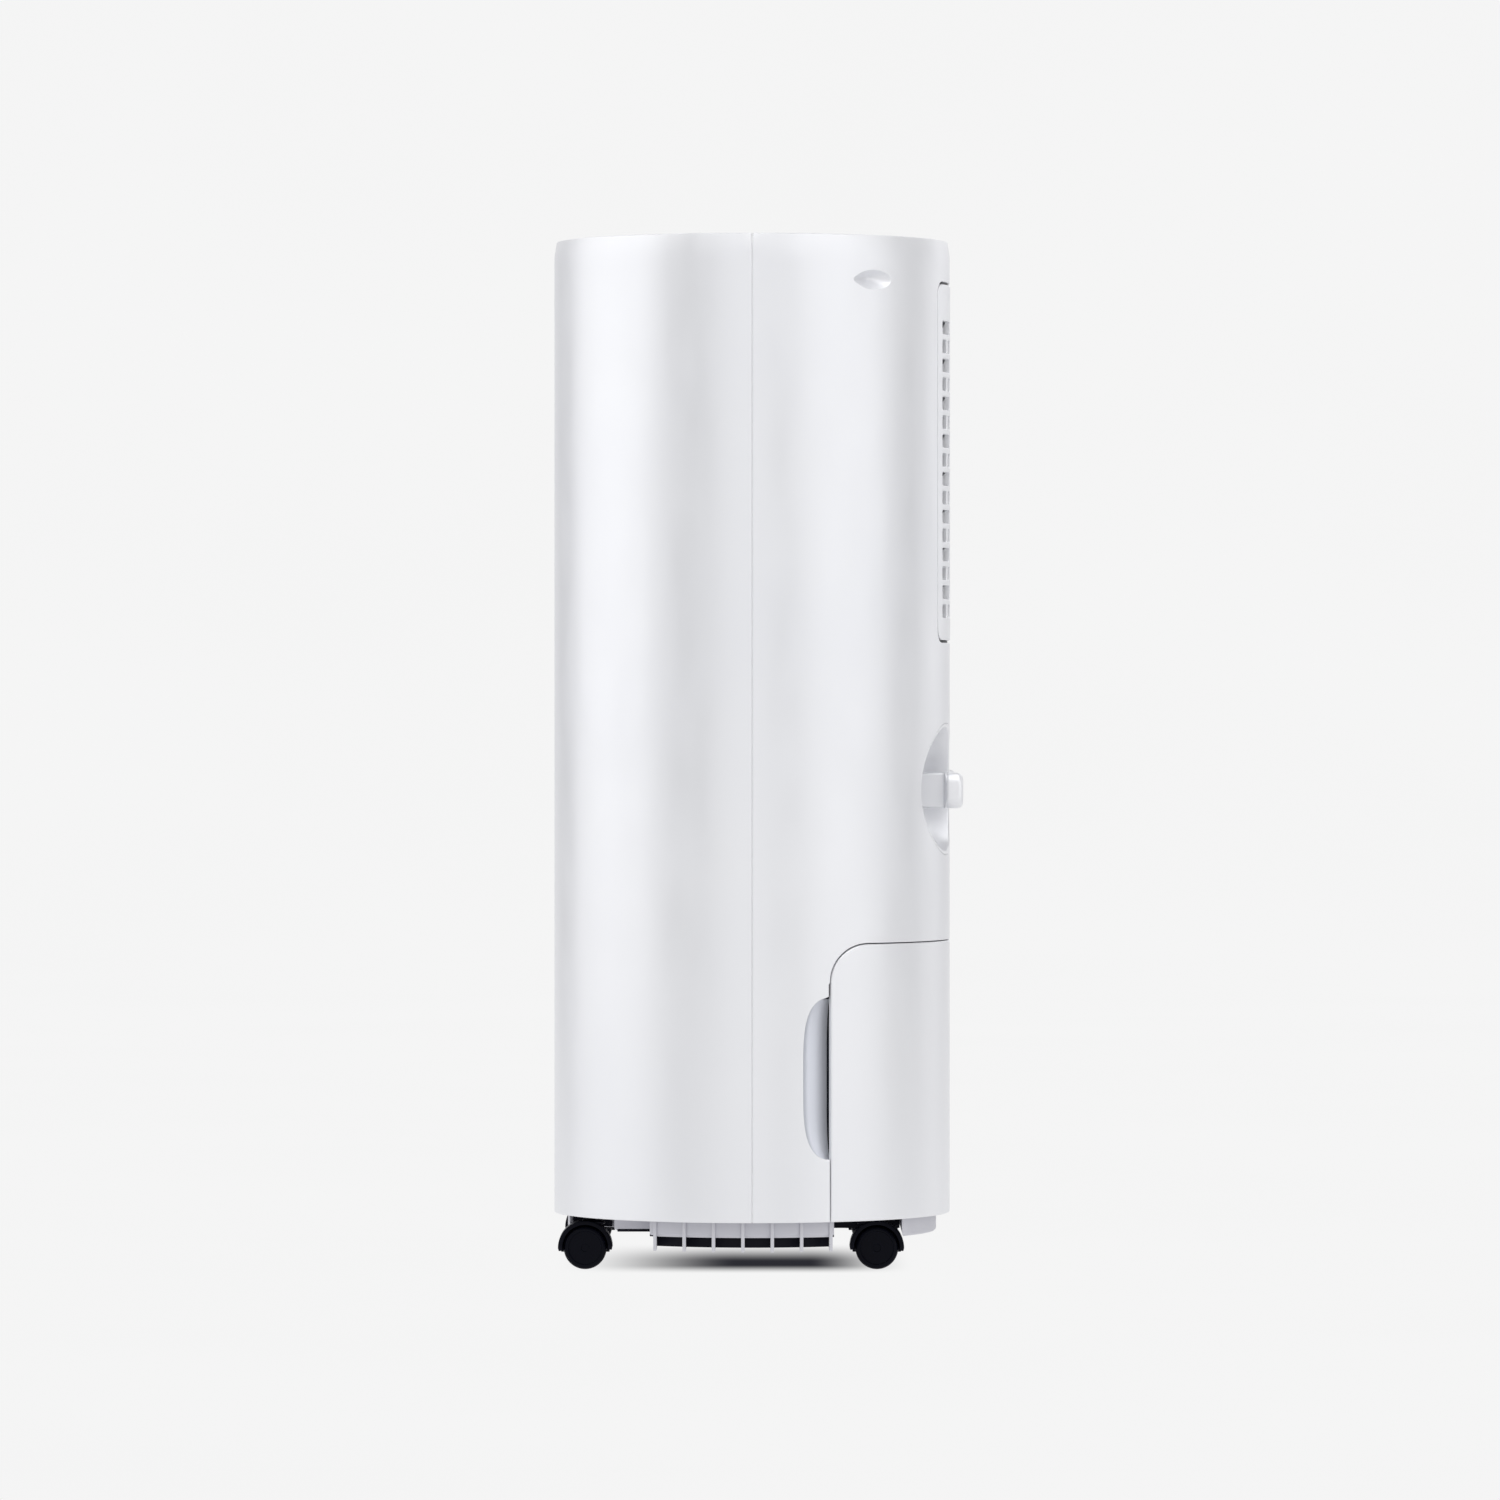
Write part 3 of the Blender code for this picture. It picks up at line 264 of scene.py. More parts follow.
def lattice(loops, step_a, step_b, clear):
    """Grid points inside the outlines and clear of them."""
    corners = np.array([tuple(p) for p in loops[0]])
    low, high = corners.min(0), corners.max(0)
    count_a = max(2, round((high[0] - low[0]) / step_a))
    count_b = max(2, round((high[1] - low[1]) / step_b))
    grid_a, grid_b = np.meshgrid(
        np.linspace(low[0], high[0], count_a + 1)[1:-1], np.linspace(low[1], high[1], count_b + 1)[1:-1]
    )
    points = np.column_stack([grid_a.ravel(), grid_b.ravel()])
    points = points[inside(points, loops)]
    rims = np.array([tuple(p) for loop in loops for p in loop])
    kept = [p for p in points if np.min(np.hypot(*(rims - p).T)) > clear]
    return [Vector(p) for p in kept]


def ruffled(loop):
    """The outline with every second point a hair outwards, so that no three neighbours are in line."""
    outer = shifted(loop, -RUFFLE)
    return [far if index % 2 else near for index, (near, far) in enumerate(zip(loop, outer))]


def fill(loops, extra):
    """Triangles, as indices into the loops' points followed by the extra points."""
    loops = [ruffled(loop) for loop in loops]
    points = [p for loop in loops for p in loop] + list(extra)
    edges = []
    start = 0
    for loop in loops:
        edges += [(start + i, start + (i + 1) % len(loop)) for i in range(len(loop))]
        start += len(loop)
    result = delaunay_2d_cdt(points, edges, [], 0, 1e-7)
    origin = [source[0] if source else -1 for source in result[3]]
    triangles = [face for face in result[2] if all(origin[i] >= 0 for i in face)]
    corners = np.array([[tuple(result[0][i]) for i in face] for face in triangles])
    one, two = corners[:, 1] - corners[:, 0], corners[:, 2] - corners[:, 0]
    area = np.abs(one[:, 0] * two[:, 1] - one[:, 1] * two[:, 0]) / 2
    keep = inside(corners.mean(1), loops) & (area > SPECK)
    return [tuple(origin[i] for i in face) for face, kept in zip(triangles, keep) if kept]


# ---------------------------------------------------------------- mesh makers

def new_piece(name, verts, faces, smooth_angle=42.0):
    """Closed mesh object with outward faces and smooth shading."""
    mesh = bpy.data.meshes.new(name)
    build = bmesh.new()
    made = [build.verts.new(v) for v in verts]
    for face in faces:
        corners = list(dict.fromkeys(face))
        if len(corners) > 2:
            build.faces.new([made[i] for i in corners])
    loose = [v for v in build.verts if not v.link_faces]
    bmesh.ops.delete(build, geom=loose, context="VERTS")
    bmesh.ops.recalc_face_normals(build, faces=build.faces)
    build.to_mesh(mesh)
    build.free()
    mesh.shade_smooth()
    mesh.set_sharp_from_angle(angle=math.radians(smooth_angle))
    piece = bpy.data.objects.new(name, mesh)
    bpy.context.scene.collection.objects.link(piece)
    return piece


def even_shading(piece):
    """Let big faces rule the shading next to small fillets."""
    modifier = piece.modifiers.new("weighted_normals", "WEIGHTED_NORMAL")
    modifier.keep_sharp = True
    modifier.weight = 80
    return piece


def skin(name, loops, put, wall=WALL, fillet=FILLET, bowls=(), steps=(0.006, 0.014), back=None):
    """Plate with filleted edges, wrapped by put(a, b, depth).

    loops[0] is the outline and the others are holes. Each bowl is (loop, depth), a dished hollow.
    back(a, b) is the depth of the hidden side, which is the wall thickness if it isn't given.
    """
    back = back or (lambda a, b: wall)
    verts, faces = [], []

    def ring(points, depth):
        first = len(verts)
        verts.extend(put(p.x, p.y, depth(p.x, p.y) if callable(depth) else depth) for p in points)
        return list(range(first, len(verts)))

    holes = [turned(loop, False) for loop in loops[1:]]
    edges = [turned(loops[0], True)] + holes
    dished = [(turned(loop, False), depth) for loop, depth in bowls]
    turns = [math.radians(angle) for angle in (0, 30, 60, 90)]
    front_rings, front_loops, back_rings = [], [], []
    for loop in edges + [loop for loop, _ in dished]:
        rings = []
        for turn in turns:
            moved = shifted(loop, fillet * (1 - math.cos(turn)))
            rings.append(ring(moved, fillet * (1 - math.sin(turn))))
        for one, two in zip(rings, rings[1:]):
            bridge(faces, one, two)
        front_rings.append(rings)
        front_loops.append(moved)
    for loop, rings in zip(edges, front_rings):
        hidden = ring(loop, back)
        bridge(faces, hidden, rings[0])
        back_rings.append(hidden)
    for (loop, depth), rings in zip(dished, front_rings[len(edges):]):
        centre = sum(loop, Vector((0.0, 0.0))) / len(loop) + Vector((0.0, 0.0010))
        last = rings[0]
        for index in range(1, 7):
            turn = math.radians(90 * index / 7)
            share = 0.7 * (1 - index / 7) + 0.3 * math.cos(turn)
            lower = [centre + (p - centre) * share for p in loop]
            following = ring(lower, fillet + depth * (0.7 * index / 7 + 0.3 * math.sin(turn)))
            bridge(faces, last, following)
            last = following
        tip = ring([centre], fillet + depth)
        bridge(faces, last, tip * len(last))

    extra = lattice(front_loops, steps[0], steps[1], 0.0022)
    order = [i for rings in front_rings for i in rings[-1]] + ring(extra, 0.0)
    faces += [tuple(order[i] for i in face) for face in fill(front_loops, extra)]
    extra = lattice(edges, steps[0], steps[1], 0.0022)
    order = [i for rings in back_rings for i in rings] + ring(extra, back)
    faces += [tuple(order[i] for i in face) for face in fill(edges, extra)]
    return even_shading(new_piece(name, verts, faces))


def bridge(faces, one, two):
    """Join two rings of vertex numbers with faces."""
    for index in range(len(one)):
        after = (index + 1) % len(one)
        faces.append((one[index], one[after], two[after], two[index]))


def loft(name, rings, smooth_angle=42.0):
    """Closed body through rings of equal length, with flat ends."""
    count = len(rings[0])
    numbers = [list(range(k * count, (k + 1) * count)) for k in range(len(rings))]
    faces = [tuple(numbers[0]), tuple(numbers[-1])]
    for one, two in zip(numbers, numbers[1:]):
        bridge(faces, one, two)
    return new_piece(name, [v for ring in rings for v in ring], faces, smooth_angle)


def lathe(name, profile, centre, axis="Z", steps=48, smooth_angle=35.0):
    """Closed body turned from (along, radius) points, which end on the axis or run round a hole."""
    verts, faces = [], []
    rings = []
    for along, radius in profile:
        if radius == 0.0:
            verts.append(spun(axis, centre, along, 0.0, 0.0))
            rings.append([len(verts) - 1] * steps)
            continue
        rings.append(list(range(len(verts), len(verts) + steps)))
        verts += [spun(axis, centre, along, radius, 2 * math.pi * i / steps) for i in range(steps)]
    pairs = list(zip(rings, rings[1:]))
    if profile[0][1] > 0.0:
        pairs.append((rings[-1], rings[0]))
    for one, two in pairs:
        bridge(faces, one, two)
    return new_piece(name, verts, faces, smooth_angle)


def spun(axis, centre, along, radius, angle):
    """Point at an angle round an axis through the centre."""
    a, b = radius * math.cos(angle), radius * math.sin(angle)
    offset = {"X": (along, a, b), "Y": (a, along, b), "Z": (a, b, along)}[axis]
    return Vector(centre) + Vector(offset)


def soften(piece, width, segments, angle=35.0):
    """Round the sharp edges of a piece."""
    modifier = piece.modifiers.new("round_edges", "BEVEL")
    modifier.width = width
    modifier.segments = segments
    modifier.limit_method = "ANGLE"
    modifier.angle_limit = math.radians(angle)
    return even_shading(piece)


def show(piece, body, slot, *nodes, material=None):
    """Ride a finished piece on its body in its slot's finish, or in the given material, and hide the CAD nodes
    it stands for.
    """
    piece.data.materials.clear()
    piece.data.materials.append(material or SLOT_MATERIALS[slot])
    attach(piece, body)
    if nodes:
        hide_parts(*nodes)
    return piece


# ---------------------------------------------------------------- materials

class Surface:
    """Principled material made of nodes; a node's input is a plain value or another node's socket."""

    def __init__(self, name):
        self.material = bpy.data.materials.new(name)
        self.material.use_nodes = True
        self.tree = self.material.node_tree

    def feed(self, node, inputs):
        """Set or link the inputs of a node."""
        for name, value in inputs.items():
            if isinstance(value, bpy.types.NodeSocket):
                self.tree.links.new(value, node.inputs[name])
            else:
                node.inputs[name].default_value = value

    def add(self, kind, output, inputs=None, **settings):
        """New node; returns one of its output sockets."""
        node = self.tree.nodes.new("ShaderNode" + kind)
        for name, value in settings.items():
            setattr(node, name, value)
        self.feed(node, inputs or {})
        return node.outputs[output]

    def finish(self, inputs):
        """Set the shader's own inputs and return the material."""
        self.feed(self.tree.nodes["Principled BSDF"], inputs)
        return self.material

    def noise(self, scale, detail=3.0, stretch=(1.0, 1.0, 1.0)):
        """Noise in the object's own metres."""
        place = self.add("Mapping", "Vector", {"Scale": stretch, "Vector": self.add("TexCoord", "Object")})
        return self.add("TexNoise", "Fac", {"Scale": scale, "Detail": detail, "Vector": place})

    def spread(self, source, low, high, source_low=0.3, source_high=0.7, **settings):
        """Map a factor to a range of values."""
        return self.add("MapRange", "Result", {
            "Value": source, "From Min": source_low, "From Max": source_high, "To Min": low, "To Max": high,
        }, **settings)

    def blend(self, factor, one, two):
        """Mix two colours, each an RGB tuple or a socket."""
        one, two = [(*color, 1.0) if isinstance(color, tuple) else color for color in (one, two)]
        return self.add("Mix", "Result", {"Factor": factor, "A": one, "B": two}, data_type="RGBA")

    def bump(self, height, strength, distance, below=None):
        """Bump from a height socket, over another bump if one is given."""
        over = {} if below is None else {"Normal": below}
        over.update({"Strength": strength, "Distance": distance, "Height": height})
        return self.add("Bump", "Normal", over)

    def math(self, operation, *sources):
        """Arithmetic on sockets."""
        return self.add("Math", "Value", dict(enumerate(sources)), operation=operation)


def moulded(name, pale, deep, roughness, grain=1500.0, grain_depth=0.00006, wear=None, pearl=0.0, shine=0.5):
    """Injection-moulded plastic: slow tone drift, spark-eroded grain, handling marks and worn edges."""
    look = Surface(name)
    color = look.blend(look.spread(look.noise(7.0, 2.0), 0.0, 1.0), pale, deep)
    if wear is not None:
        edge = look.spread(look.add("NewGeometry", "Pointiness"), 0.0, 0.6, 0.53, 0.62)
        color = look.blend(edge, color, wear)
    marks = look.noise(55.0, 5.0, (1.0, 1.0, 0.35))
    wave = look.bump(look.noise(9.0, 1.0), 0.25, 0.0004)
    return look.finish({
        "Base Color": color,
        "Roughness": look.spread(marks, roughness - 0.04, roughness + 0.06),
        "Normal": look.bump(look.noise(grain, 2.0), 0.35, grain_depth, wave),
        "Specular IOR Level": shine,
        "Metallic": pearl,
    })


def metal(name, pale, deep, roughness, scale, stretch=(1.0, 1.0, 1.0), metallic=1.0):
    """Drawn, rolled or enamelled metal with streaks."""
    look = Surface(name)
    streaks = look.noise(scale, 4.0, stretch)
    return look.finish({
        "Base Color": look.blend(streaks, pale, deep),
        "Roughness": look.spread(streaks, roughness - 0.06, roughness + 0.10),
        "Normal": look.bump(streaks, 0.3, 0.00005),
        "Metallic": metallic,
    })


def clear_plastic(name, pale, deep, roughness, see_through):
    """Tinted translucent plastic with faint flow lines."""
    material = moulded(name, pale, deep, roughness, 600.0, 0.00003)
    shader = material.node_tree.nodes["Principled BSDF"]
    shader.inputs["Transmission Weight"].default_value = see_through
    return material


def woven(name, pale, deep, threads):
    """Filter netting: crossed threads in colour and relief."""
    look = Surface(name)
    where = look.add("TexCoord", "Object")
    threading = {"Scale": threads, "Vector": where}
    relief = [look.add("TexWave", "Fac", threading, bands_direction=axis) for axis in "XZ"]
    higher = look.math("MAXIMUM", *relief)
    return look.finish({
        "Base Color": look.blend(higher, deep, pale),
        "Normal": look.bump(higher, 0.6, 0.0003),
        "Roughness": 0.85,
    })


WORN_BLACK = (0.02, 0.02, 0.03)
SLOT_MATERIALS = {
    "cool_white_casing": moulded(
        "cool_white_plastic", (0.815, 0.820, 0.845), (0.795, 0.802, 0.832), 0.36,
        wear=(0.86, 0.86, 0.87), pearl=0.42),
    "light_grey_trim": moulded(
        "light_grey_plastic", (0.560, 0.560, 0.610), (0.520, 0.520, 0.570), 0.48, wear=(0.64, 0.64, 0.68)),
    "black_caster_plastic": moulded(
        "black_nylon", (0.0030, 0.0034, 0.0075), (0.0018, 0.0020, 0.0050), 0.34,
        900.0, 0.00005, WORN_BLACK, shine=0.07),
    "gloss_black_panel": moulded(
        "gloss_black_panel", (0.010, 0.010, 0.012), (0.007, 0.007, 0.009), 0.12, 300.0, 0.00001),
    "display_lens": clear_plastic("smoked_lens", (0.05, 0.09, 0.10), (0.04, 0.07, 0.08), 0.08, 0.35),
    "clear_tank": clear_plastic("tank_plastic", (0.62, 0.70, 0.76), (0.56, 0.65, 0.72), 0.20, 0.45),
    "black_enamel_steel": metal(
        "black_enamel", (0.030, 0.030, 0.034), (0.018, 0.018, 0.020), 0.36, 120.0, metallic=0.0),
    "copper_pipe": metal("copper", (0.76, 0.40, 0.25), (0.62, 0.29, 0.17), 0.28, 220.0),
    "coil_aluminium": metal(
        "finned_aluminium", (0.78, 0.79, 0.80), (0.62, 0.63, 0.65), 0.36, 300.0, (1.0, 1.0, 0.05)),
    "circuit_board": moulded(
        "circuit_board", (0.045, 0.20, 0.11), (0.035, 0.16, 0.09), 0.50, 400.0, 0.00020, (0.35, 0.30, 0.12)),
    "rubber": moulded(
        "black_rubber", (0.030, 0.030, 0.030), (0.022, 0.022, 0.022), 0.78,
        1100.0, 0.00012, (0.06, 0.06, 0.06)),
    "filter_mesh": woven("filter_netting", (0.30, 0.31, 0.33), (0.06, 0.06, 0.07), 260.0),
}
# Painted shade: a darker, bluer copy of the cool white casing for the grips' hollows, standing in for the shade
# in them
PAINTED_SHADE_RECESS = moulded(
    "recess_painted_shade_plastic", (0.715, 0.735, 0.800), (0.700, 0.720, 0.785), 0.42, wear=(0.80, 0.80, 0.83), pearl=0.30)
WHEEL = moulded(
    "black_wheel", (0.0022, 0.0026, 0.0065), (0.0012, 0.0014, 0.0042), 0.26,
    700.0, 0.00003, WORN_BLACK, shine=0.07)
KEYS = moulded(
    "button_plastic", (0.030, 0.030, 0.034), (0.022, 0.022, 0.026), 0.26, 900.0, 0.00003, (0.08, 0.08, 0.09))


def finish_cad_nodes():
    """Give every CAD node the finish of its slot; replaced nodes keep it too, unseen."""
    for row in frame["record"]["subparts"]:
        node = CAD_NODES[row["node"]]
        node.data.materials.clear()
        node.data.materials.append(SLOT_MATERIALS[row["material_slot"]])


# ---------------------------------------------------------------- casing

def shell_back(s, z):
    """Depth of the shells' inner side, straight up behind the round rim."""
    over = max(z - (TOP - RIM_ROUND), 0.0)
    return WALL - (RIM_ROUND - math.sqrt(max(RIM_ROUND ** 2 - over ** 2, 0.0)))


def plain(points):
    """Vectors from pairs."""
    return [Vector(point) for point in points]


def grip_outline(stop, grow):
    """Bowed front edge of the right-hand grip, from its lower to its upper end on the line s = stop."""
    middle, half = (GRIP_LOW + GRIP_HIGH) / 2, (GRIP_HIGH - GRIP_LOW) / 2 + grow
    span = stop - arc_at_y(GRIP_FRONT) + grow
    points = []
    for index in range(33):
        v = math.sin(math.pi * (index / 32 - 0.5))
        points.append((stop - span * (1 - abs(v) ** 4) ** 0.45, middle + half * v))
    return points


def tank_edge(gap, with_grip):
    """Right-hand edge of the tank's opening, from the bottom up to its top line, as (s, z) points."""
    edge = TANK_BOX[0].y - MIDDLE_Y + gap
    top = TANK_BOX[1].z - gap
    points = [(arc_at_y(edge), BOTTOM)]
    if with_grip:
        start = arc_at_y(edge)
        grip = grip_outline(start, 0.0)
        points += grip[:17] + [(s, z) for s, z in grip[17:] if s < start - SHADOW_STRIP_GAP]
        notch = start - SHADOW_STRIP_GAP
        points += [(notch, GRIP_HIGH + 0.0006), (notch, SHADOW_STRIP_TOP), (start, SHADOW_STRIP_TOP + 0.0011)]
    corner = arc_points(edge + TANK_CORNER, top - TANK_CORNER, TANK_CORNER, 180, 90, 14)
    return plain(points + [(arc_at_y(p.x), p.y) for p in corner])


def mirrored(points):
    """The same (s, z) points on the other end of the back, in reverse order."""
    return [Vector((BACK_LENGTH - p.x, p.y)) for p in points[::-1]]


def dish_loop(side, radius, steps=72):
    """Outline of a cord dish on the casing."""
    low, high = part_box("cleat_dish_right")
    centre = Vector(((low.x + high.x) / 2, (low.z + high.z) / 2))
    loop = []
    for index in range(steps):
        angle = 2 * math.pi * index / steps
        x = centre.x + radius * math.cos(angle)
        s = arc_at_x(side * x)
        loop.append(Vector((s, centre.y + radius * math.sin(angle))))
    return loop


def on_side(side, s):
    """The same place on the right-hand (1) or the left-hand (-1) end of the back."""
    return s if side > 0 else BACK_LENGTH - s


def scoop_loop(side, steps=40):
    """Finger scoop outline: drawn to a point at the front and blunt at the back."""
    loop = []
    middle = RADIUS * math.radians(SCOOP_ANGLE)
    for index in range(steps):
        angle = 2 * math.pi * index / steps
        across = SCOOP_SIZE[0] * math.cos(angle)
        taper = 1.0 - 0.45 * max(-math.cos(angle), 0.0) ** 2.2
        rise = SCOOP_SIZE[1] * taper * math.sin(angle)
        loop.append(Vector((on_side(side, middle + across), SCOOP_HEIGHT + rise)))
    return loop


def make_front_shell():
    """Front half of the casing, in one piece from seam to seam."""
    low, high = -BACK_LENGTH + SEAM, -SEAM
    outline = densify(plain([(low, BOTTOM), (high, BOTTOM), (high, TOP), (low, TOP)]))
    piece = skin("front_casing", [outline], casing, back=shell_back, steps=(0.005, 0.008))
    show(piece, "chassis", "cool_white_casing", "front_shell")


def make_rear_shell():
    """Rear half of the casing, with its openings and its finger scoops."""
    right = tank_edge(-SEAM * 1.5, True)
    outline = plain([(SEAM, BOTTOM)]) + right + mirrored(right)
    outline += plain([(BACK_LENGTH - SEAM, BOTTOM), (BACK_LENGTH - SEAM, TOP), (SEAM, TOP)])
    low, high = GRILLE_BOX
    start = arc_at_x(high.x) - SEAM
    opening = round_rectangle((start, low.z - 0.0010), (BACK_LENGTH - start, high.z + 0.0010), 0.0085)
    holes = [densify(opening)]
    radius = (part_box("cleat_dish_right")[1].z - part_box("cleat_dish_right")[0].z) / 2 + DISH_BROADER
    holes += [dish_loop(side, radius + 0.0002) for side in (1, -1)]
    gland_low, gland_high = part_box("cord_gland")
    centre = (QUARTER + END_X - (gland_low.x + gland_high.x) / 2, (gland_low.z + gland_high.z) / 2)
    holes.append(arc_points(*centre, 0.0060, 0, 345, 23))
    bowls = [(scoop_loop(side), SCOOP_DEPTH) for side in (1, -1)]
    middle = RADIUS * math.radians(SCOOP_ANGLE)

    def back(s, z):
        """Thicker behind the finger scoops."""
        reach = min(abs(s - middle), abs(BACK_LENGTH - s - middle))
        near = max(0.0, 1.0 - math.hypot(reach / 0.022, (z - SCOOP_HEIGHT) / 0.016) ** 2)
        return shell_back(s, z) + 0.0075 * near

    loops = [densify(outline)] + holes
    piece = skin("rear_casing", loops, casing, bowls=bowls, back=back, steps=(0.005, 0.008))
    show(piece, "chassis", "cool_white_casing", "rear_shell")


def upright(name, side, low, high, steps, corners):
    """Bar up the casing through (s, depth) corners."""
    rings = []
    for k in range(steps + 1):
        z = low + (high - low) * k / steps
        rings.append([casing(on_side(side, s), z, depth) for s, depth in corners])
    return loft(name, rings, 30.0)


def make_seam_lips():
    """Tongue joint that shows as a shallow groove between the two shells."""
    half = SEAM + 0.0002
    corners = ((-half, 0.0026), (-half, LIP_DEPTH), (half, LIP_DEPTH), (half, 0.0026))
    for side, word in SIDES:
        lip = upright("seam_lip_" + word, side, BOTTOM + 0.0004, TOP - RIM_ROUND + 0.0004, 40, corners)
        show(lip, "chassis", "cool_white_casing")


def make_grips():
    """Dished floors of the hand grips, which run in behind the tank panel's edge, in a darker copy of the
    casing that paints shade into them; and black strips that paint the shadow in the gaps beside the tank.
    """
    stop = arc_at_y(TANK_BOX[0].y - MIDDLE_Y) - GRIP_SLIT
    edge = stop + GRIP_TUCK
    outline = grip_outline(stop, 0.0012)
    for side, word in SIDES:
        sheets = []
        for thick in (0.0, 0.0016):
            rows = []
            for s_front, z in outline:
                row = []
                reach = (stop - s_front) / (stop - outline[16][0])
                for i in range(13):
                    u = i / 12
                    s = s_front + (edge - s_front) * u
                    fall = 0.50 * min(u / 0.22, 1.0) + 0.50 * u
                    depth = 0.0024 + (GRIP_DEPTH - 0.0024) * fall * reach
                    if s > stop - 0.0004:
                        depth = max(depth, 0.0046)
                    row.append(casing(on_side(side, s), z, depth + thick))
                rows.append(row)
            sheets.append(rows)
        # The grip floors take the darker copy of the casing: painted shade in the hollow
        show(slab("hand_grip_" + word, *sheets), "chassis", "cool_white_casing", material=PAINTED_SHADE_RECESS)
        # Black strip behind the tank panel's edge: painted shadow in the gap beside the tank
        corners = ((edge - 0.0004, 0.0118), (edge - 0.0004, 0.0102),
                   (edge + 0.0042, 0.0042), (edge + 0.0042, 0.0060))
        shadow_strip = upright("tank_gap_painted_shadow_" + word, side, GRIP_LOW - 0.0010, SHADOW_STRIP_TOP - 0.0010, 24, corners)
        show(shadow_strip, "chassis", "black_caster_plastic")
        # Black strip behind the notch above the grip: painted shadow there too
        corners = ((stop - 0.0040, 0.0052), (stop - 0.0040, 0.0036),
                   (stop + 0.0020, 0.0036), (stop + 0.0020, 0.0052))
        notch_shadow_strip = upright("tank_notch_painted_shadow_" + word, side, GRIP_HIGH - 0.0008, SHADOW_STRIP_TOP + 0.0004, 8, corners)
        show(notch_shadow_strip, "chassis", "black_caster_plastic")


def slab(name, upper, lower):
    """Closed body between two grids of points."""
    rows, columns = len(upper), len(upper[0])
    verts = [v for row in upper for v in row] + [v for row in lower for v in row]
    half = rows * columns
    faces = []
    for i in range(rows - 1):
        for j in range(columns - 1):
            a = i * columns + j
            faces.append((a, a + 1, a + columns + 1, a + columns))
            faces.append((half + a, half + a + columns, half + a + columns + 1, half + a + 1))
    border = list(range(columns)) + [i * columns + columns - 1 for i in range(1, rows)]
    border += [(rows - 1) * columns + j for j in range(columns - 2, -1, -1)]
    border += [i * columns for i in range(rows - 2, 0, -1)]
    for here, after in zip(border, border[1:] + border[:1]):
        faces.append((here, after, half + after, half + here))
    return new_piece(name, verts, faces)


def make_tank_panel():
    """Outer face of the water tank, flush with the casing."""
    right = tank_edge(SEAM * 0.5, False)
    outline = densify(right + mirrored(right))
    piece = skin("tank_front", [outline], casing, fillet=0.0009, steps=(0.005, 0.01))
    show(piece, "tank", "cool_white_casing", "tank_panel")


def proud(s, z, depth):
    """The casing's surface, standing a little further out."""
    return casing(s, z, depth - GRILLE_PROUD)


def strip(name, start, stop, corners, steps=60):
    """Bar along the casing through (z, depth) corners."""
    rings = []
    for k in range(steps + 1):
        s = start + (stop - start) * k / steps
        rings.append([casing(s, z, depth) for z, depth in corners])
    return loft(name, rings, 30.0)


def make_grille():
    """Air inlet panel with its brick pattern of slots and sloping vanes behind them."""
    low, high = GRILLE_BOX
    start = arc_at_x(high.x) + 0.0002
    outline = round_rectangle((start, low.z + 0.0005), (BACK_LENGTH - start, high.z - 0.0005), 0.008)
    loops = [densify(outline)]
    first = arc_at_x(SLOT_HALF_SPAN)
    span = BACK_LENGTH - 2 * first
    period = (span + SLOT_BAR) / SLOTS_ACROSS
    whole = [period] * int(SLOTS_ACROSS)
    for row in range(SLOT_ROWS):
        z = SLOT_TOP - row * SLOT_PITCH
        lengths = whole + [period / 2] if row % 2 == 0 else [period / 2] + whole
        place = first
        for length in lengths:
            slot = round_rectangle(
                (place, z - SLOT_HALF_HEIGHT), (place + length - SLOT_BAR, z + SLOT_HALF_HEIGHT), 0.0014, 3
            )
            loops.append(densify(slot, 0.0075))
            place += length
        foot = z - SLOT_HALF_HEIGHT - 0.0004
        corners = ((foot, 0.0027), (foot + 0.0046, 0.0068), (foot + 0.0038, 0.0074), (foot - 0.0010, 0.0032))
        vane = strip("inlet_vane_%02d" % row, first - 0.0012, BACK_LENGTH - first + 0.0012, corners)
        show(vane, "inlet_filter", "cool_white_casing")
    piece = skin("grille_panel", loops, proud, wall=0.0029, fillet=0.0006)
    show(piece, "inlet_filter", "cool_white_casing", "inlet_grille")
    # Black strips behind the grille's top and bottom gaps: painted shadow in the gaps
    for name, z in (("upper", high.z + 0.0004), ("lower", low.z - 0.0004)):
        corners = ((z - 0.0006, 0.0014), (z + 0.0006, 0.0014), (z + 0.0006, 0.0028), (z - 0.0006, 0.0028))
        shadow_strip = strip("grille_gap_painted_shadow_" + name, start + 0.0030, BACK_LENGTH - start - 0.0030, corners)
        show(shadow_strip, "chassis", "black_caster_plastic")


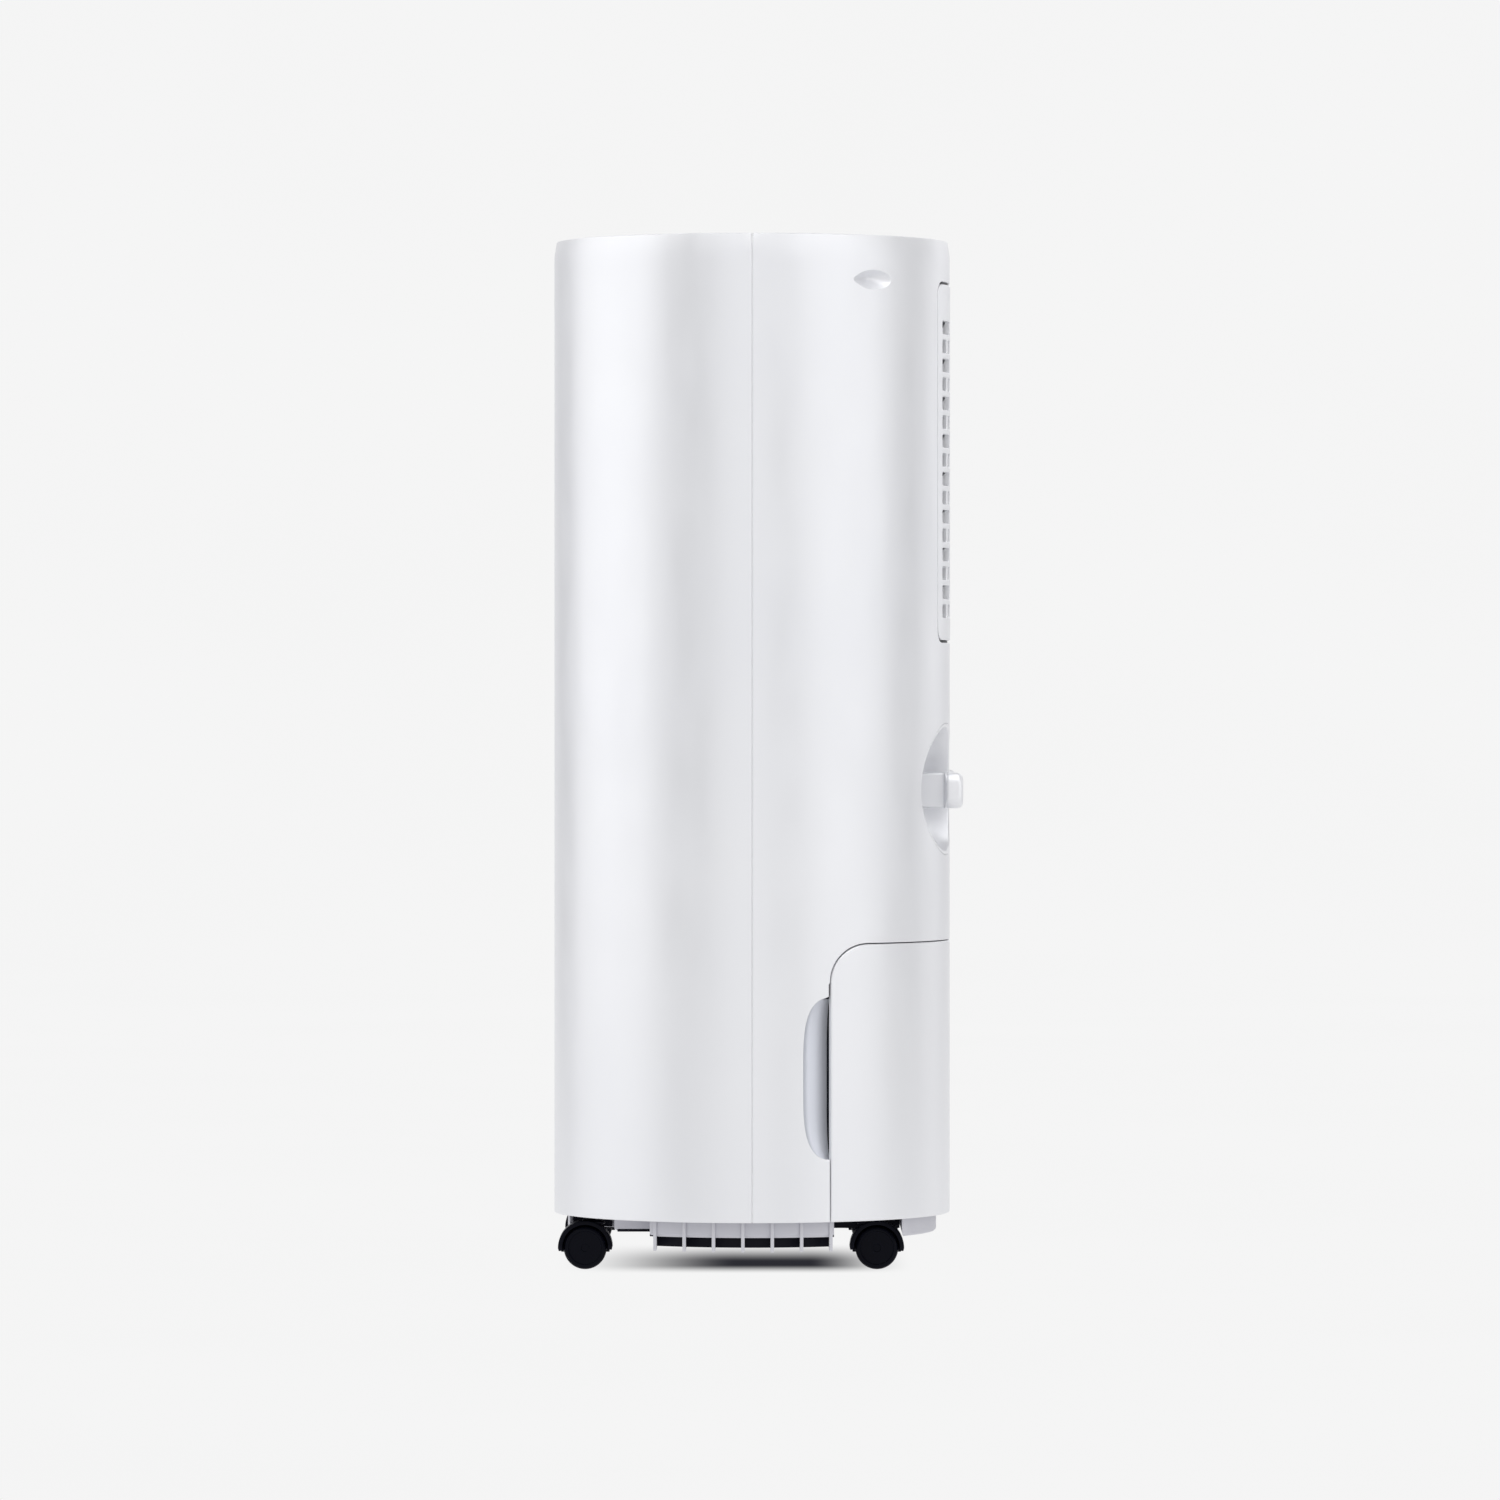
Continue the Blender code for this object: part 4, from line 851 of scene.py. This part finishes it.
def make_dishes_and_cleats():
    """Round cord dishes and the T-shaped hooks in them."""
    for _, word in SIDES:
        low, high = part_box("cleat_dish_" + word)
        centre = Vector(((low.x + high.x) / 2, 0.0, (low.z + high.z) / 2))
        radius = (high.z - low.z) / 2 + DISH_BROADER
        floor = low.y + 0.0022
        profile = [
            (0.0, None), (radius - 0.004, None), (radius, 0.05), (radius, 0.990), (radius - 0.0003, 0.998),
            (radius - 0.0009, 0.998), (radius - 0.0017, 0.985),
            (radius - 0.0022, 0.95), (radius - 0.0029, 0.68),
            (radius - 0.0040, 0.46), (radius - 0.0058, 0.31), (radius - 0.0084, 0.19), (radius - 0.0120, 0.09),
            (radius - 0.0164, 0.03), (radius - 0.0210, 0.0), (0.0, 0.0),
        ]
        steps = 72
        verts, faces, rings = [], [], []
        for r, share in profile:
            ring = []
            for index in range(steps if r > 0 else 1):
                angle = 2 * math.pi * index / steps
                rim = on_casing(arc_at_x(centre.x + radius * math.cos(angle)))[1]
                y = low.y if share is None else floor + (rim - floor) * share
                verts.append(Vector((centre.x + r * math.cos(angle), y, centre.z + r * math.sin(angle))))
                ring.append(len(verts) - 1)
            rings.append(ring if r > 0 else ring * steps)
        for one, two in zip(rings, rings[1:]):
            bridge(faces, one, two)
        dish = even_shading(new_piece("cord_dish_" + word, verts, faces))
        show(dish, "chassis", "cool_white_casing", "cleat_dish_" + word)

        hook_low, hook_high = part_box("cord_cleat_" + word)
        half_width = (hook_high.x - hook_low.x) / 2
        half_height = (hook_high.z - hook_low.z) / 2 - HOOK_LOWER
        centre.z -= HOOK_LOWER
        back = hook_high.y - 0.0104
        front = hook_high.y
        stations = [
            (hook_low.y, 0.0104, 0.0106), (hook_low.y + 0.0008, 0.0096, 0.0103),
            (hook_low.y + 0.0018, 0.0090, 0.0102),
            (back - 0.0020, 0.0090, 0.0102), (back - 0.0008, 0.0096, 0.0102), (back - 0.0002, 0.0112, 0.0102),
            (back, half_width - 0.0030, 0.0102), (back + 0.0006, half_width - 0.0010, half_height - 0.0004),
            (back + 0.0020, half_width, half_height), (front - 0.0034, half_width, half_height),
            (front - 0.0016, half_width - 0.0005, half_height - 0.0005),
            (front - 0.0005, half_width - 0.0017, half_height - 0.0016),
            (front, half_width - 0.0036, half_height - 0.0034),
        ]
        rings = []
        for y, wide, tall in stations:
            corner = 0.0062 if y > back else 0.0012
            low_end, high_end = (centre.x - wide, centre.z - tall), (centre.x + wide, centre.z + tall)
            outline = round_rectangle(low_end, high_end, corner)
            rings.append([Vector((p.x, y, p.y)) for p in outline])
        hook = even_shading(loft("cord_hook_" + word, rings))
        show(hook, "chassis", "cool_white_casing", "cord_cleat_" + word)


# ---------------------------------------------------------------- deck

def stadium(radius, step=5.0):
    """Plan outline of the oval, counter-clockwise."""
    points = []
    count = max(4, round(180 / step))
    for side, start in ((1, -90.0), (-1, 90.0)):
        for index in range(count + 1):
            angle = math.radians(start + 180.0 * index / count)
            x = side * END_X + radius * math.cos(angle)
            points.append(Vector((x, MIDDLE_Y + radius * math.sin(angle))))
    return points


def flat(top, down=1.0):
    """Wrap for level plates: depth runs down from their top, or up when down is negative."""
    return lambda a, b, depth: Vector((a, b, top - down * depth))


def make_deck():
    """Top cover, control panel, display and buttons."""
    low, high = DECK_BOX
    radius = high.y - MIDDLE_Y
    panel_low, panel_high = PANEL_BOX
    gap = 0.0004
    outlet_low, outlet_high = LOUVER_BOX
    outlet = round_rectangle(
        (outlet_low.x - 0.0008, outlet_low.y - 0.0008), (outlet_high.x + 0.0008, outlet_high.y + 0.0020), 0.004)
    bed = round_rectangle(
        (panel_low.x - gap, panel_low.y - gap), (panel_high.x + gap, panel_high.y + gap), 0.0064)
    loops = [densify(loop, 0.007) for loop in (stadium(radius - 0.0003), outlet, bed)]
    cover = skin("deck", loops, flat(high.z), wall=high.z - low.z, fillet=0.0008, steps=(0.010, 0.010))
    show(cover, "chassis", "cool_white_casing", "top_cover")

    loops = [round_rectangle((panel_low.x, panel_low.y), (panel_high.x, panel_high.y), 0.0060)]
    buttons = {name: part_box(name + "_button") for name in ("power", "mode", "fan", "timer")}
    for button_low, button_high in buttons.values():
        middle = (button_low + button_high) / 2
        loops.append(arc_points(middle.x, middle.y, (button_high.x - button_low.x) / 2 + 0.0005, 0, 350, 35))
    lens_low, lens_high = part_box("display_lens")
    loops.append(round_rectangle(
        (lens_low.x - gap, lens_low.y - gap), (lens_high.x + gap, lens_high.y + gap), 0.0022))
    loops = [densify(loop, 0.005) for loop in loops]
    panel = skin("control_fascia", loops, flat(panel_high.z), wall=0.002, fillet=0.0004, steps=(0.006, 0.006))
    show(panel, "chassis", "gloss_black_panel", "control_panel")
    window = [densify(round_rectangle((lens_low.x, lens_low.y), (lens_high.x, lens_high.y), 0.0020), 0.003)]
    lens = skin("display_window", window, flat(lens_high.z), wall=0.002, fillet=0.0005, steps=(0.004, 0.004))
    show(lens, "chassis", "display_lens", "display_lens")
    for name, (button_low, button_high) in buttons.items():
        middle = (button_low + button_high) / 2
        size = (button_high.x - button_low.x) / 2
        profile = [
            (-0.0110, 0.0), (-0.0110, size - 0.0006), (-0.0105, size - 0.0001), (-0.0010, size),
            (-0.0005, size - 0.0001), (-0.0001, size - 0.0005), (0.0, size - 0.0010), (-0.0001, size - 0.0016),
            (-0.0004, size - 0.0028), (-0.0006, size * 0.25), (-0.0006, 0.0),
        ]
        key = lathe(name + "_key", profile, (middle.x, middle.y, button_high.z), "Z", 40)
        show(key, name + "_button", "gloss_black_panel", name + "_button", material=KEYS)
        profile = [(-0.0006, 0.0), (-0.0006, 0.0008), (0.0003, 0.0007), (0.0004, 0.0)]
        place = (middle.x, panel_low.y + 0.0045, panel_high.z - 0.0002)
        dot = lathe(name + "_indicator", profile, place, "Z", 20)
        show(dot, "chassis", "display_lens")


def make_louver():
    """Outlet flap with a rounded lip, stiffening ribs underneath and its two pivots."""
    low, high = LOUVER_BOX
    outline = densify(round_rectangle((low.x, low.y), (high.x, high.y), 0.003))
    top = high.z
    flap = skin("outlet_flap", [outline], flat(top), wall=0.0022, fillet=0.0010, steps=(0.010, 0.008))
    show(flap, "louver", "cool_white_casing", "outlet_louver")
    base = top - 0.0021
    section = ((-0.0009, 0.0), (0.0009, 0.0), (0.0008, 0.8), (0.0005, 1.0), (-0.0005, 1.0), (-0.0008, 0.8))
    stations = (
        (low.y + 0.006, 0.0004), (low.y + 0.009, 0.0016), (high.y - 0.010, 0.0018), (high.y - 0.005, 0.0006))
    for index in range(7):
        x = low.x + 0.012 + (high.x - low.x - 0.024) * index / 6
        rings = [[Vector((x + dx, y, base - dz * tall)) for dx, dz in section] for y, tall in stations]
        show(loft("flap_rib_%d" % index, rings), "louver", "cool_white_casing")
    place = ((low.x + high.x) / 2, high.y - 0.003, (low.z + high.z) / 2)
    half = (high.x - low.x) / 2
    profile = [
        (-half, 0.0), (-half, 0.0014), (-half + 0.0003, 0.0017),
        (half - 0.0003, 0.0017), (half, 0.0014), (half, 0.0)]
    show(lathe("flap_hinge", profile, place, "X", 24), "louver", "cool_white_casing")


# ---------------------------------------------------------------- base and casters

def wheel_wells():
    """Centres of the four caster wells."""
    places = []
    for word in CASTERS:
        low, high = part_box("caster_hood_" + word)
        trail = CASTER_TRAIL if word.startswith("front") else -CASTER_TRAIL
        places.append(Vector(((low.x + high.x) / 2, (low.y + high.y) / 2 + trail)))
    return places


def make_base():
    """Base pan in two tiers with the caster wells."""
    low, high = PAN_BOX
    holes = wheel_wells()
    radius = high.y - MIDDLE_Y - PAN_INSET
    joint = BOTTOM + 0.0004
    upper = [densify(stadium(high.y - MIDDLE_Y - 0.0003))]
    upper += [arc_points(place.x, place.y, 0.0046, 0, 330, 11) for place in holes]
    depth = high.z - BOTTOM - 0.0006
    plate = skin("pan_plate", upper, flat(BOTTOM + 0.0006, -1.0), wall=depth, steps=(0.012, 0.012))
    show(plate, "chassis", "light_grey_trim", "base_pan")
    foot = low.z - TIER_DROP
    lower = [tier_outline(radius, WELL_RADIUS + 0.0012)]
    tier = skin("pan_tier", lower, flat(foot, -1.0), wall=joint - foot, fillet=0.0012, steps=(0.012, 0.012))
    show(tier, "chassis", "light_grey_trim")
    # Black plate a little inside the lower tier: painted shadow along the tier's bottom edge
    shadow = [tier_outline(high.y - MIDDLE_Y - 0.0060, WELL_RADIUS + 0.0024)]
    shadow_sole = skin("pan_painted_shadow_sole", shadow, flat(foot - 0.0008, -1.0), wall=0.0016, fillet=0.0003, steps=(0.02, 0.02))
    show(shadow_sole, "chassis", "black_caster_plastic")
    foot = low.z - BLOCK_DROP
    back = [densify(both_sides(oval_run(radius, REAR_BLOCK, radius, 12)))]
    depth = joint - foot
    block = skin("pan_block", back, flat(foot, -1.0), wall=depth, fillet=0.0018, steps=(0.012, 0.012))
    show(block, "chassis", "light_grey_trim")
    # Black well sides: painted shade inside the caster wells
    for side, word in SIDES:
        make_well_sides(side, word, low.z, holes)
    profile = [(0.0, 0.0050), (0.0, 0.0115), (0.0003, 0.0120), (0.0026, 0.0120), (0.0026, 0.0050)]
    for number, place in enumerate(holes):
        roof = lathe("well_roof_%d" % number, profile, (place.x, place.y, WELL_ROOF - 0.0026), "Z", 40)
        show(roof, "chassis", "black_caster_plastic")


def make_well_sides(side, word, low, holes):
    """Black inner sides of the caster wells, which paint the shade inside them: straight and clear of the swing
    behind, curved in front.
    """
    rings = []
    for k in range(13):
        y = MIDDLE_Y + RIB_REAR + (REAR_BLOCK - 0.0006 - RIB_REAR) * k / 12
        trim = 0.0003 if k in (0, 12) else 0.0
        corners = ((0.0002, low - 0.0012 + trim), (0.0012 - trim, low - 0.0012 + trim),
                   (0.0015 - trim, low - 0.0009 + trim), (0.0015 - trim, WELL_ROOF), (0.0002, WELL_ROOF))
        rings.append([Vector((side * (REAR_FLAT + x), y, z)) for x, z in corners])
    show(loft("well_painted_shade_wall_" + word, rings, 30.0), "chassis", "black_caster_plastic")
    well = next(place for place in holes if place.x * side > 0 and place.y < MIDDLE_Y)
    inner, outer = WELL_RADIUS + 0.0004, WELL_RADIUS + 0.0010
    section = ((inner, low - 0.0010), (inner, WELL_ROOF), (outer, WELL_ROOF), (outer, low - 0.0010))
    rings = []
    for k in range(13):
        turn = math.radians(180.0 - 37.0 + 74.0 * k / 12)
        a, b = side * math.cos(turn), math.sin(turn)
        rings.append([Vector((well.x + radius * a, well.y + radius * b, z)) for radius, z in section])
    show(loft("well_painted_shade_liner_" + word, rings, 30.0), "chassis", "black_caster_plastic")


def oval_run(radius, start, stop, steps):
    """Points (x, y) on the right-hand end of the oval between two distances behind the middle."""
    first, last = math.asin(start / radius), math.asin(stop / radius)
    turns = [first + (last - first) * k / steps for k in range(steps + 1)]
    return [Vector((END_X + radius * math.cos(turn), MIDDLE_Y + radius * math.sin(turn))) for turn in turns]


def both_sides(half):
    """Closed outline from its right-hand half, listed from front to back."""
    return half + [Vector((-p.x, p.y)) for p in half[::-1]]


def tier_outline(radius, bite):
    """Plan of the lower pan: bites for the front casters, full width along the ribs, set back at the rear."""
    well = max(wheel_wells(), key=lambda place: place.x - 10 * place.y)
    half = []
    for point in oval_run(radius, -radius, -RIB_SPAN, 60):
        if (point - well).length < bite:
            break
        half.append(point)
    first = math.atan2(half[-1].y - well.y, half[-1].x - well.x) % (2 * math.pi)
    last = math.acos((FRONT_FLAT - well.x) / bite)
    for k in range(1, 19):
        turn = first + (last - first) * k / 18
        half.append(well + bite * Vector((math.cos(turn), math.sin(turn))))
    half.append(Vector((FRONT_FLAT, MIDDLE_Y - RIB_SPAN)))
    half += oval_run(radius, -RIB_SPAN, RIB_REAR, 18)
    half += [Vector((REAR_FLAT, MIDDLE_Y + RIB_REAR)), Vector((REAR_FLAT, MIDDLE_Y + REAR_BLOCK - 0.0006))]
    return densify(both_sides(half))


def make_skirts():
    """Ribbed air skirts under both ends; their fins follow the oval."""
    low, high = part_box("rib_skirt_right")
    radius = PAN_BOX[1].y - MIDDLE_Y - PAN_INSET
    pitch = (high.y - low.y - RIB_THICK) / (RIB_COUNT - 1)
    half = RIB_THICK / 2
    first, last = low.y + 0.0004, high.y - 0.0004
    inner, base, top = low.x + 0.012, low.z + 0.0004, BOTTOM - 0.0002
    walls = (
        ("skirt_wall_", 0.0006, high.z - 0.0017, high.z + 0.0012, "light_grey_trim"),
        ("skirt_duct_", 0.0110, low.z + 0.0024, high.z - 0.0004, "black_caster_plastic"),
    )

    def reach(y, inset=0.0):
        return END_X + math.sqrt((radius - inset) ** 2 - (y - MIDDLE_Y) ** 2)

    for side, word in SIDES:
        for index in range(RIB_COUNT):
            y = low.y + half + pitch * index
            outer = reach(y) + 0.0014
            middle = (inner + outer) / 2
            outline = [(inner, top), (inner, base + 0.002), (inner + 0.002, base), (outer - 0.0012, base),
                       (outer - 0.0004, base + 0.0004), (outer, base + 0.0014), (outer, top)]
            rings = []
            for shift, cut in ((-half, 0.0003), (-half + 0.0003, 0.0), (half - 0.0003, 0.0), (half, 0.0003)):
                trimmed = [(x - math.copysign(cut, x - middle), max(z, base + cut)) for x, z in outline]
                rings.append([Vector((side * x, y + shift, z)) for x, z in trimmed])
            fin = loft("rib_%s_%d" % (word, index), rings, 30.0)
            names = ("rib_skirt_" + word,) if index == 0 else ()
            show(fin, "chassis", "light_grey_trim", *names)
        for name, inset, bottom, roof, slot in walls:
            rings = []
            for k in range(25):
                y = first + (last - first) * k / 24
                x = reach(y, inset)
                section = ((x, bottom + 0.0003), (x, roof), (x - 0.0016, roof), (x - 0.0016, bottom),
                           (x - 0.0003, bottom))
                rings.append([Vector((side * a, y, b)) for a, b in section])
            show(loft(name + word, rings), "chassis", slot)


def arch_ring(centre, turn, inner, outer, half, corner):
    """Rounded cross-section of a caster's fender at one angle."""
    points = round_rectangle((-half, inner), (half, outer), corner, 3)
    out, up = math.cos(turn), math.sin(turn)
    return [Vector((centre.x + p.x, centre.y + p.y * out, centre.z + p.y * up)) for p in points]


def make_casters():
    """Twin-wheel casters: fender, web, stem and two dished wheels each."""
    for word in CASTERS:
        front = word.startswith("front")
        wheel_low, wheel_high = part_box("wheel_%s_left" % word)
        other_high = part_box("wheel_%s_right" % word)[1]
        radius = (wheel_high.z - wheel_low.z) / 2
        middle = (wheel_low.y + wheel_high.y) / 2
        centre = Vector(((wheel_low.x + other_high.x) / 2, middle, wheel_high.z - radius))
        body = "caster_" + word
        rings = []
        for index in range(33):
            angle = -7.0 + 191.0 * index / 32
            turn = math.radians(180.0 - angle if front else angle)
            trim = 0.0004 if index in (0, 32) else 0.0
            rings.append(arch_ring(
                centre, turn, radius + 0.0008 + trim, radius + 0.0034 - trim, 0.0090 - trim, 0.0007))
        fender = even_shading(loft("fender_" + word, rings, 50.0))
        show(fender, body, "black_caster_plastic", "caster_hood_" + word)

        swivel = Vector((centre.x, centre.y + (CASTER_TRAIL if front else -CASTER_TRAIL), 0.0))
        rings = []
        for along, grow in ((-0.0012, -0.0004), (-0.0009, 0.0), (0.0009, 0.0), (0.0012, -0.0004)):
            reach = radius + 0.0018 + grow
            ring = []
            for index in range(30):
                turn = math.radians(-11.0 + 202.0 * index / 29)
                y, z = centre.y + reach * math.cos(turn), centre.z + reach * math.sin(turn)
                ring.append(Vector((centre.x + along, y, z)))
            rings.append(ring)
        show(loft("web_" + word, rings), body, "black_caster_plastic")
        profile = [
            (-0.0072, 0.0), (-0.0072, 0.0016), (-0.0070, 0.0018),
            (0.0070, 0.0018), (0.0072, 0.0016), (0.0072, 0.0)]
        show(lathe("axle_" + word, profile, centre, "X", 20), body, "black_caster_plastic")
        profile = [
            (0.0262, 0.0), (0.0262, 0.0072), (0.0265, 0.0076), (0.0274, 0.0077), (0.0277, 0.0074),
            (0.0279, 0.0062), (0.0287, 0.0058), (0.0291, 0.0040), (0.0330, 0.0038),
            (0.0332, 0.0034), (0.0332, 0.0),
        ]
        show(lathe("stem_" + word, profile, swivel, "Z", 32), body, "black_caster_plastic")
        for side, name in SIDES[::-1]:
            make_wheel(side, name, word, centre, radius)


def make_wheel(side, name, word, centre, radius):
    """One dished wheel of a caster, with a round tread and a hub."""
    inner, outer = 0.0016, 0.0088
    profile = [
        (inner, 0.0), (inner, 0.0048), (inner + 0.0006, 0.0052), (inner + 0.0006, radius - 0.0022),
        (inner, radius - 0.0018), (inner, radius - 0.0010), (inner + 0.0003, radius - 0.0003),
        (inner + 0.0010, radius), (outer - 0.0022, radius), (outer - 0.0012, radius - 0.0003),
        (outer - 0.0005, radius - 0.0009),
        (outer - 0.0001, radius - 0.0016), (outer, radius - 0.0023), (outer - 0.0001, radius - 0.0027),
        (outer - 0.0005, radius - 0.0030), (outer - 0.0006, radius - 0.0036), (outer - 0.0005, 0.0050),
        (outer - 0.0003, 0.0030), (outer - 0.0003, 0.0024), (outer - 0.0006, 0.0021), (outer - 0.0006, 0.0),
    ]
    profile = [(side * along, r) for along, r in profile]
    wheel = lathe("disc_%s_%s" % (word, name), profile, (0.0, 0.0, 0.0), "X", 64)
    wheel.location = centre
    node = "wheel_%s_%s" % (word, name)
    show(wheel, node, "black_caster_plastic", node, material=WHEEL)


# ---------------------------------------------------------------- inside

def rounded_copy(node, body, slot, width, name):
    """New piece after a CAD node's own shape, with its sharp edges rounded."""
    build = bmesh.new()
    build.from_mesh(CAD_NODES[node].data)
    bmesh.ops.remove_doubles(build, verts=build.verts, dist=1e-6)
    bmesh.ops.dissolve_limit(build, angle_limit=math.radians(1.0), verts=build.verts, edges=build.edges)
    mesh = bpy.data.meshes.new(name)
    build.to_mesh(mesh)
    build.free()
    mesh.shade_smooth()
    mesh.set_sharp_from_angle(angle=math.radians(35))
    piece = bpy.data.objects.new(name, mesh)
    bpy.context.scene.collection.objects.link(piece)
    show(soften(piece, width, 2), body, slot, node)


# ---------------------------------------------------------------- setting

def sweep_mesh(name, run):
    """Wide sheet through (x, z) points."""
    verts, faces = [], []
    for x, z in run:
        verts += [Vector((x, -FLOOR_HALF_WIDTH, z)), Vector((x, FLOOR_HALF_WIDTH, z))]
    for index in range(len(run) - 1):
        a = 2 * index
        faces.append((a, a + 1, a + 3, a + 2))
    mesh = bpy.data.meshes.new(name)
    mesh.from_pydata(verts, [], faces)
    mesh.shade_smooth()
    sheet = bpy.data.objects.new(name, mesh)
    bpy.context.scene.collection.objects.link(sheet)
    return sheet


def paper_material(name, painted_shadow):
    """Glowing white paper, dimmer far out to the sides; the floor's paper also has a painted shadow, darker
    close to the object.
    """
    look = Surface(name)
    place = look.tree.nodes.new("ShaderNodeSeparateXYZ")
    look.feed(place, {"Vector": look.add("TexCoord", "Object")})
    tone = look.blend(look.spread(look.noise(2.0, 3.0), 0.0, 1.0), PAPER, PAPER_DEEP)
    narrow = look.spread(place.outputs["X"], 0.5, 1.0, -SWEEP_START, -SWEEP_START / 2)
    side = look.math("MULTIPLY", look.math("ABSOLUTE", place.outputs["Y"]), narrow)
    tone = look.blend(look.spread(side, 0.0, 1.0, 0.9, 1.9), tone, PAPER_FAR)
    # Painted shadow: a soft patch under the object, mixed towards the shadow's tone
    if painted_shadow:
        steps = []
        for axis, low, high, back_low, back_high in PAINTED_SHADOW_SPAN:
            for first, last in ((low, high), (back_high, back_low)):
                where = place.outputs[axis]
                steps.append(look.spread(where, 0.0, 1.0, first, last, interpolation_type="SMOOTHSTEP"))
        shade = steps[0]
        for step in steps[1:]:
            shade = look.math("MULTIPLY", shade, step)
        tone = look.blend(shade, tone, PAINTED_SHADOW_TONE)
    return look.finish({
        "Emission Color": tone,
        "Emission Strength": 1.0,
        "Base Color": (0.0, 0.0, 0.0, 1.0),
        "Specular IOR Level": 0.0,
        "Roughness": 0.9,
    })


def make_floor():
    """Pale floor with the object's soft shadow painted into its glow, and a paper sweep behind and in front of
    it.
    """
    floor = sweep_mesh("floor", [(FLOOR_REACH, 0.0), (-FLOOR_REACH, 0.0)])
    floor.data.materials.append(paper_material("floor_paper", True))
    run = [(-FLOOR_REACH, 0.0), (-SWEEP_START, 0.0)]
    for turn in range(10, 91, 10):
        lean = math.radians(turn)
        run.append((-SWEEP_START - SWEEP_BEND * math.sin(lean), SWEEP_BEND - SWEEP_BEND * math.cos(lean)))
    run.append((-SWEEP_START - SWEEP_BEND, SWEEP_TOP))
    paper = paper_material("sweep_paper", False)
    sweep_mesh("backdrop", run).data.materials.append(paper)
    sweep_mesh("foreground", [(FOREGROUND_END, 0.0), (FLOOR_REACH, 0.0)]).data.materials.append(paper)


def add_light(name, place, aim, size, power):
    """Soft rectangular light."""
    data = bpy.data.lights.new(name, "AREA")
    data.shape = "RECTANGLE"
    data.size, data.size_y = size
    data.energy = power
    light = bpy.data.objects.new(name, data)
    light.location = place
    light.rotation_euler = (Vector(aim) - Vector(place)).to_track_quat("-Z", "Z").to_euler()
    light.visible_camera = False
    bpy.context.scene.collection.objects.link(light)


def make_setting():
    """Camera, soft studio light and plain surroundings."""
    scene = bpy.context.scene
    world = bpy.data.worlds.new("studio")
    world.use_nodes = True
    world.node_tree.nodes["Background"].inputs["Color"].default_value = (1.0, 1.0, 1.0, 1.0)
    world.node_tree.nodes["Background"].inputs["Strength"].default_value = WORLD_LIGHT
    scene.world = world
    scene.view_settings.view_transform = "Standard"
    for light in LIGHTS:
        add_light(*light)
    data = bpy.data.cameras.new("camera")
    data.lens = CAMERA_LENS
    data.sensor_width = 36.0
    data.shift_y = CAMERA_SHIFT
    camera = bpy.data.objects.new("camera", data)
    camera.location = CAMERA_PLACE
    camera.rotation_euler = (math.radians(90), 0.0, math.radians(90))
    scene.collection.objects.link(camera)
    scene.camera = camera


finish_cad_nodes()
make_front_shell()
make_rear_shell()
make_seam_lips()
make_grips()
make_tank_panel()
make_grille()
make_dishes_and_cleats()
make_deck()
make_louver()
make_base()
make_skirts()
make_casters()
rounded_copy("water_tank", "tank", "clear_tank", 0.0009, "bucket")
rounded_copy("tank_lid", "tank", "light_grey_trim", 0.0006, "bucket_lid")
rounded_copy("tank_handle", "tank_handle", "light_grey_trim", 0.0012, "bucket_handle")
rounded_copy("tank_float", "tank_float", "light_grey_trim", 0.0010, "float")
rounded_copy("filter_frame", "inlet_filter", "light_grey_trim", 0.0006, "filter_surround")
rounded_copy("compressor", "chassis", "black_enamel_steel", 0.0030, "compressor_can")
rounded_copy("drip_tray", "chassis", "light_grey_trim", 0.0005, "condensate_tray")
rounded_copy("electrical_box", "chassis", "black_enamel_steel", 0.0008, "wiring_box")
make_floor()
make_setting()
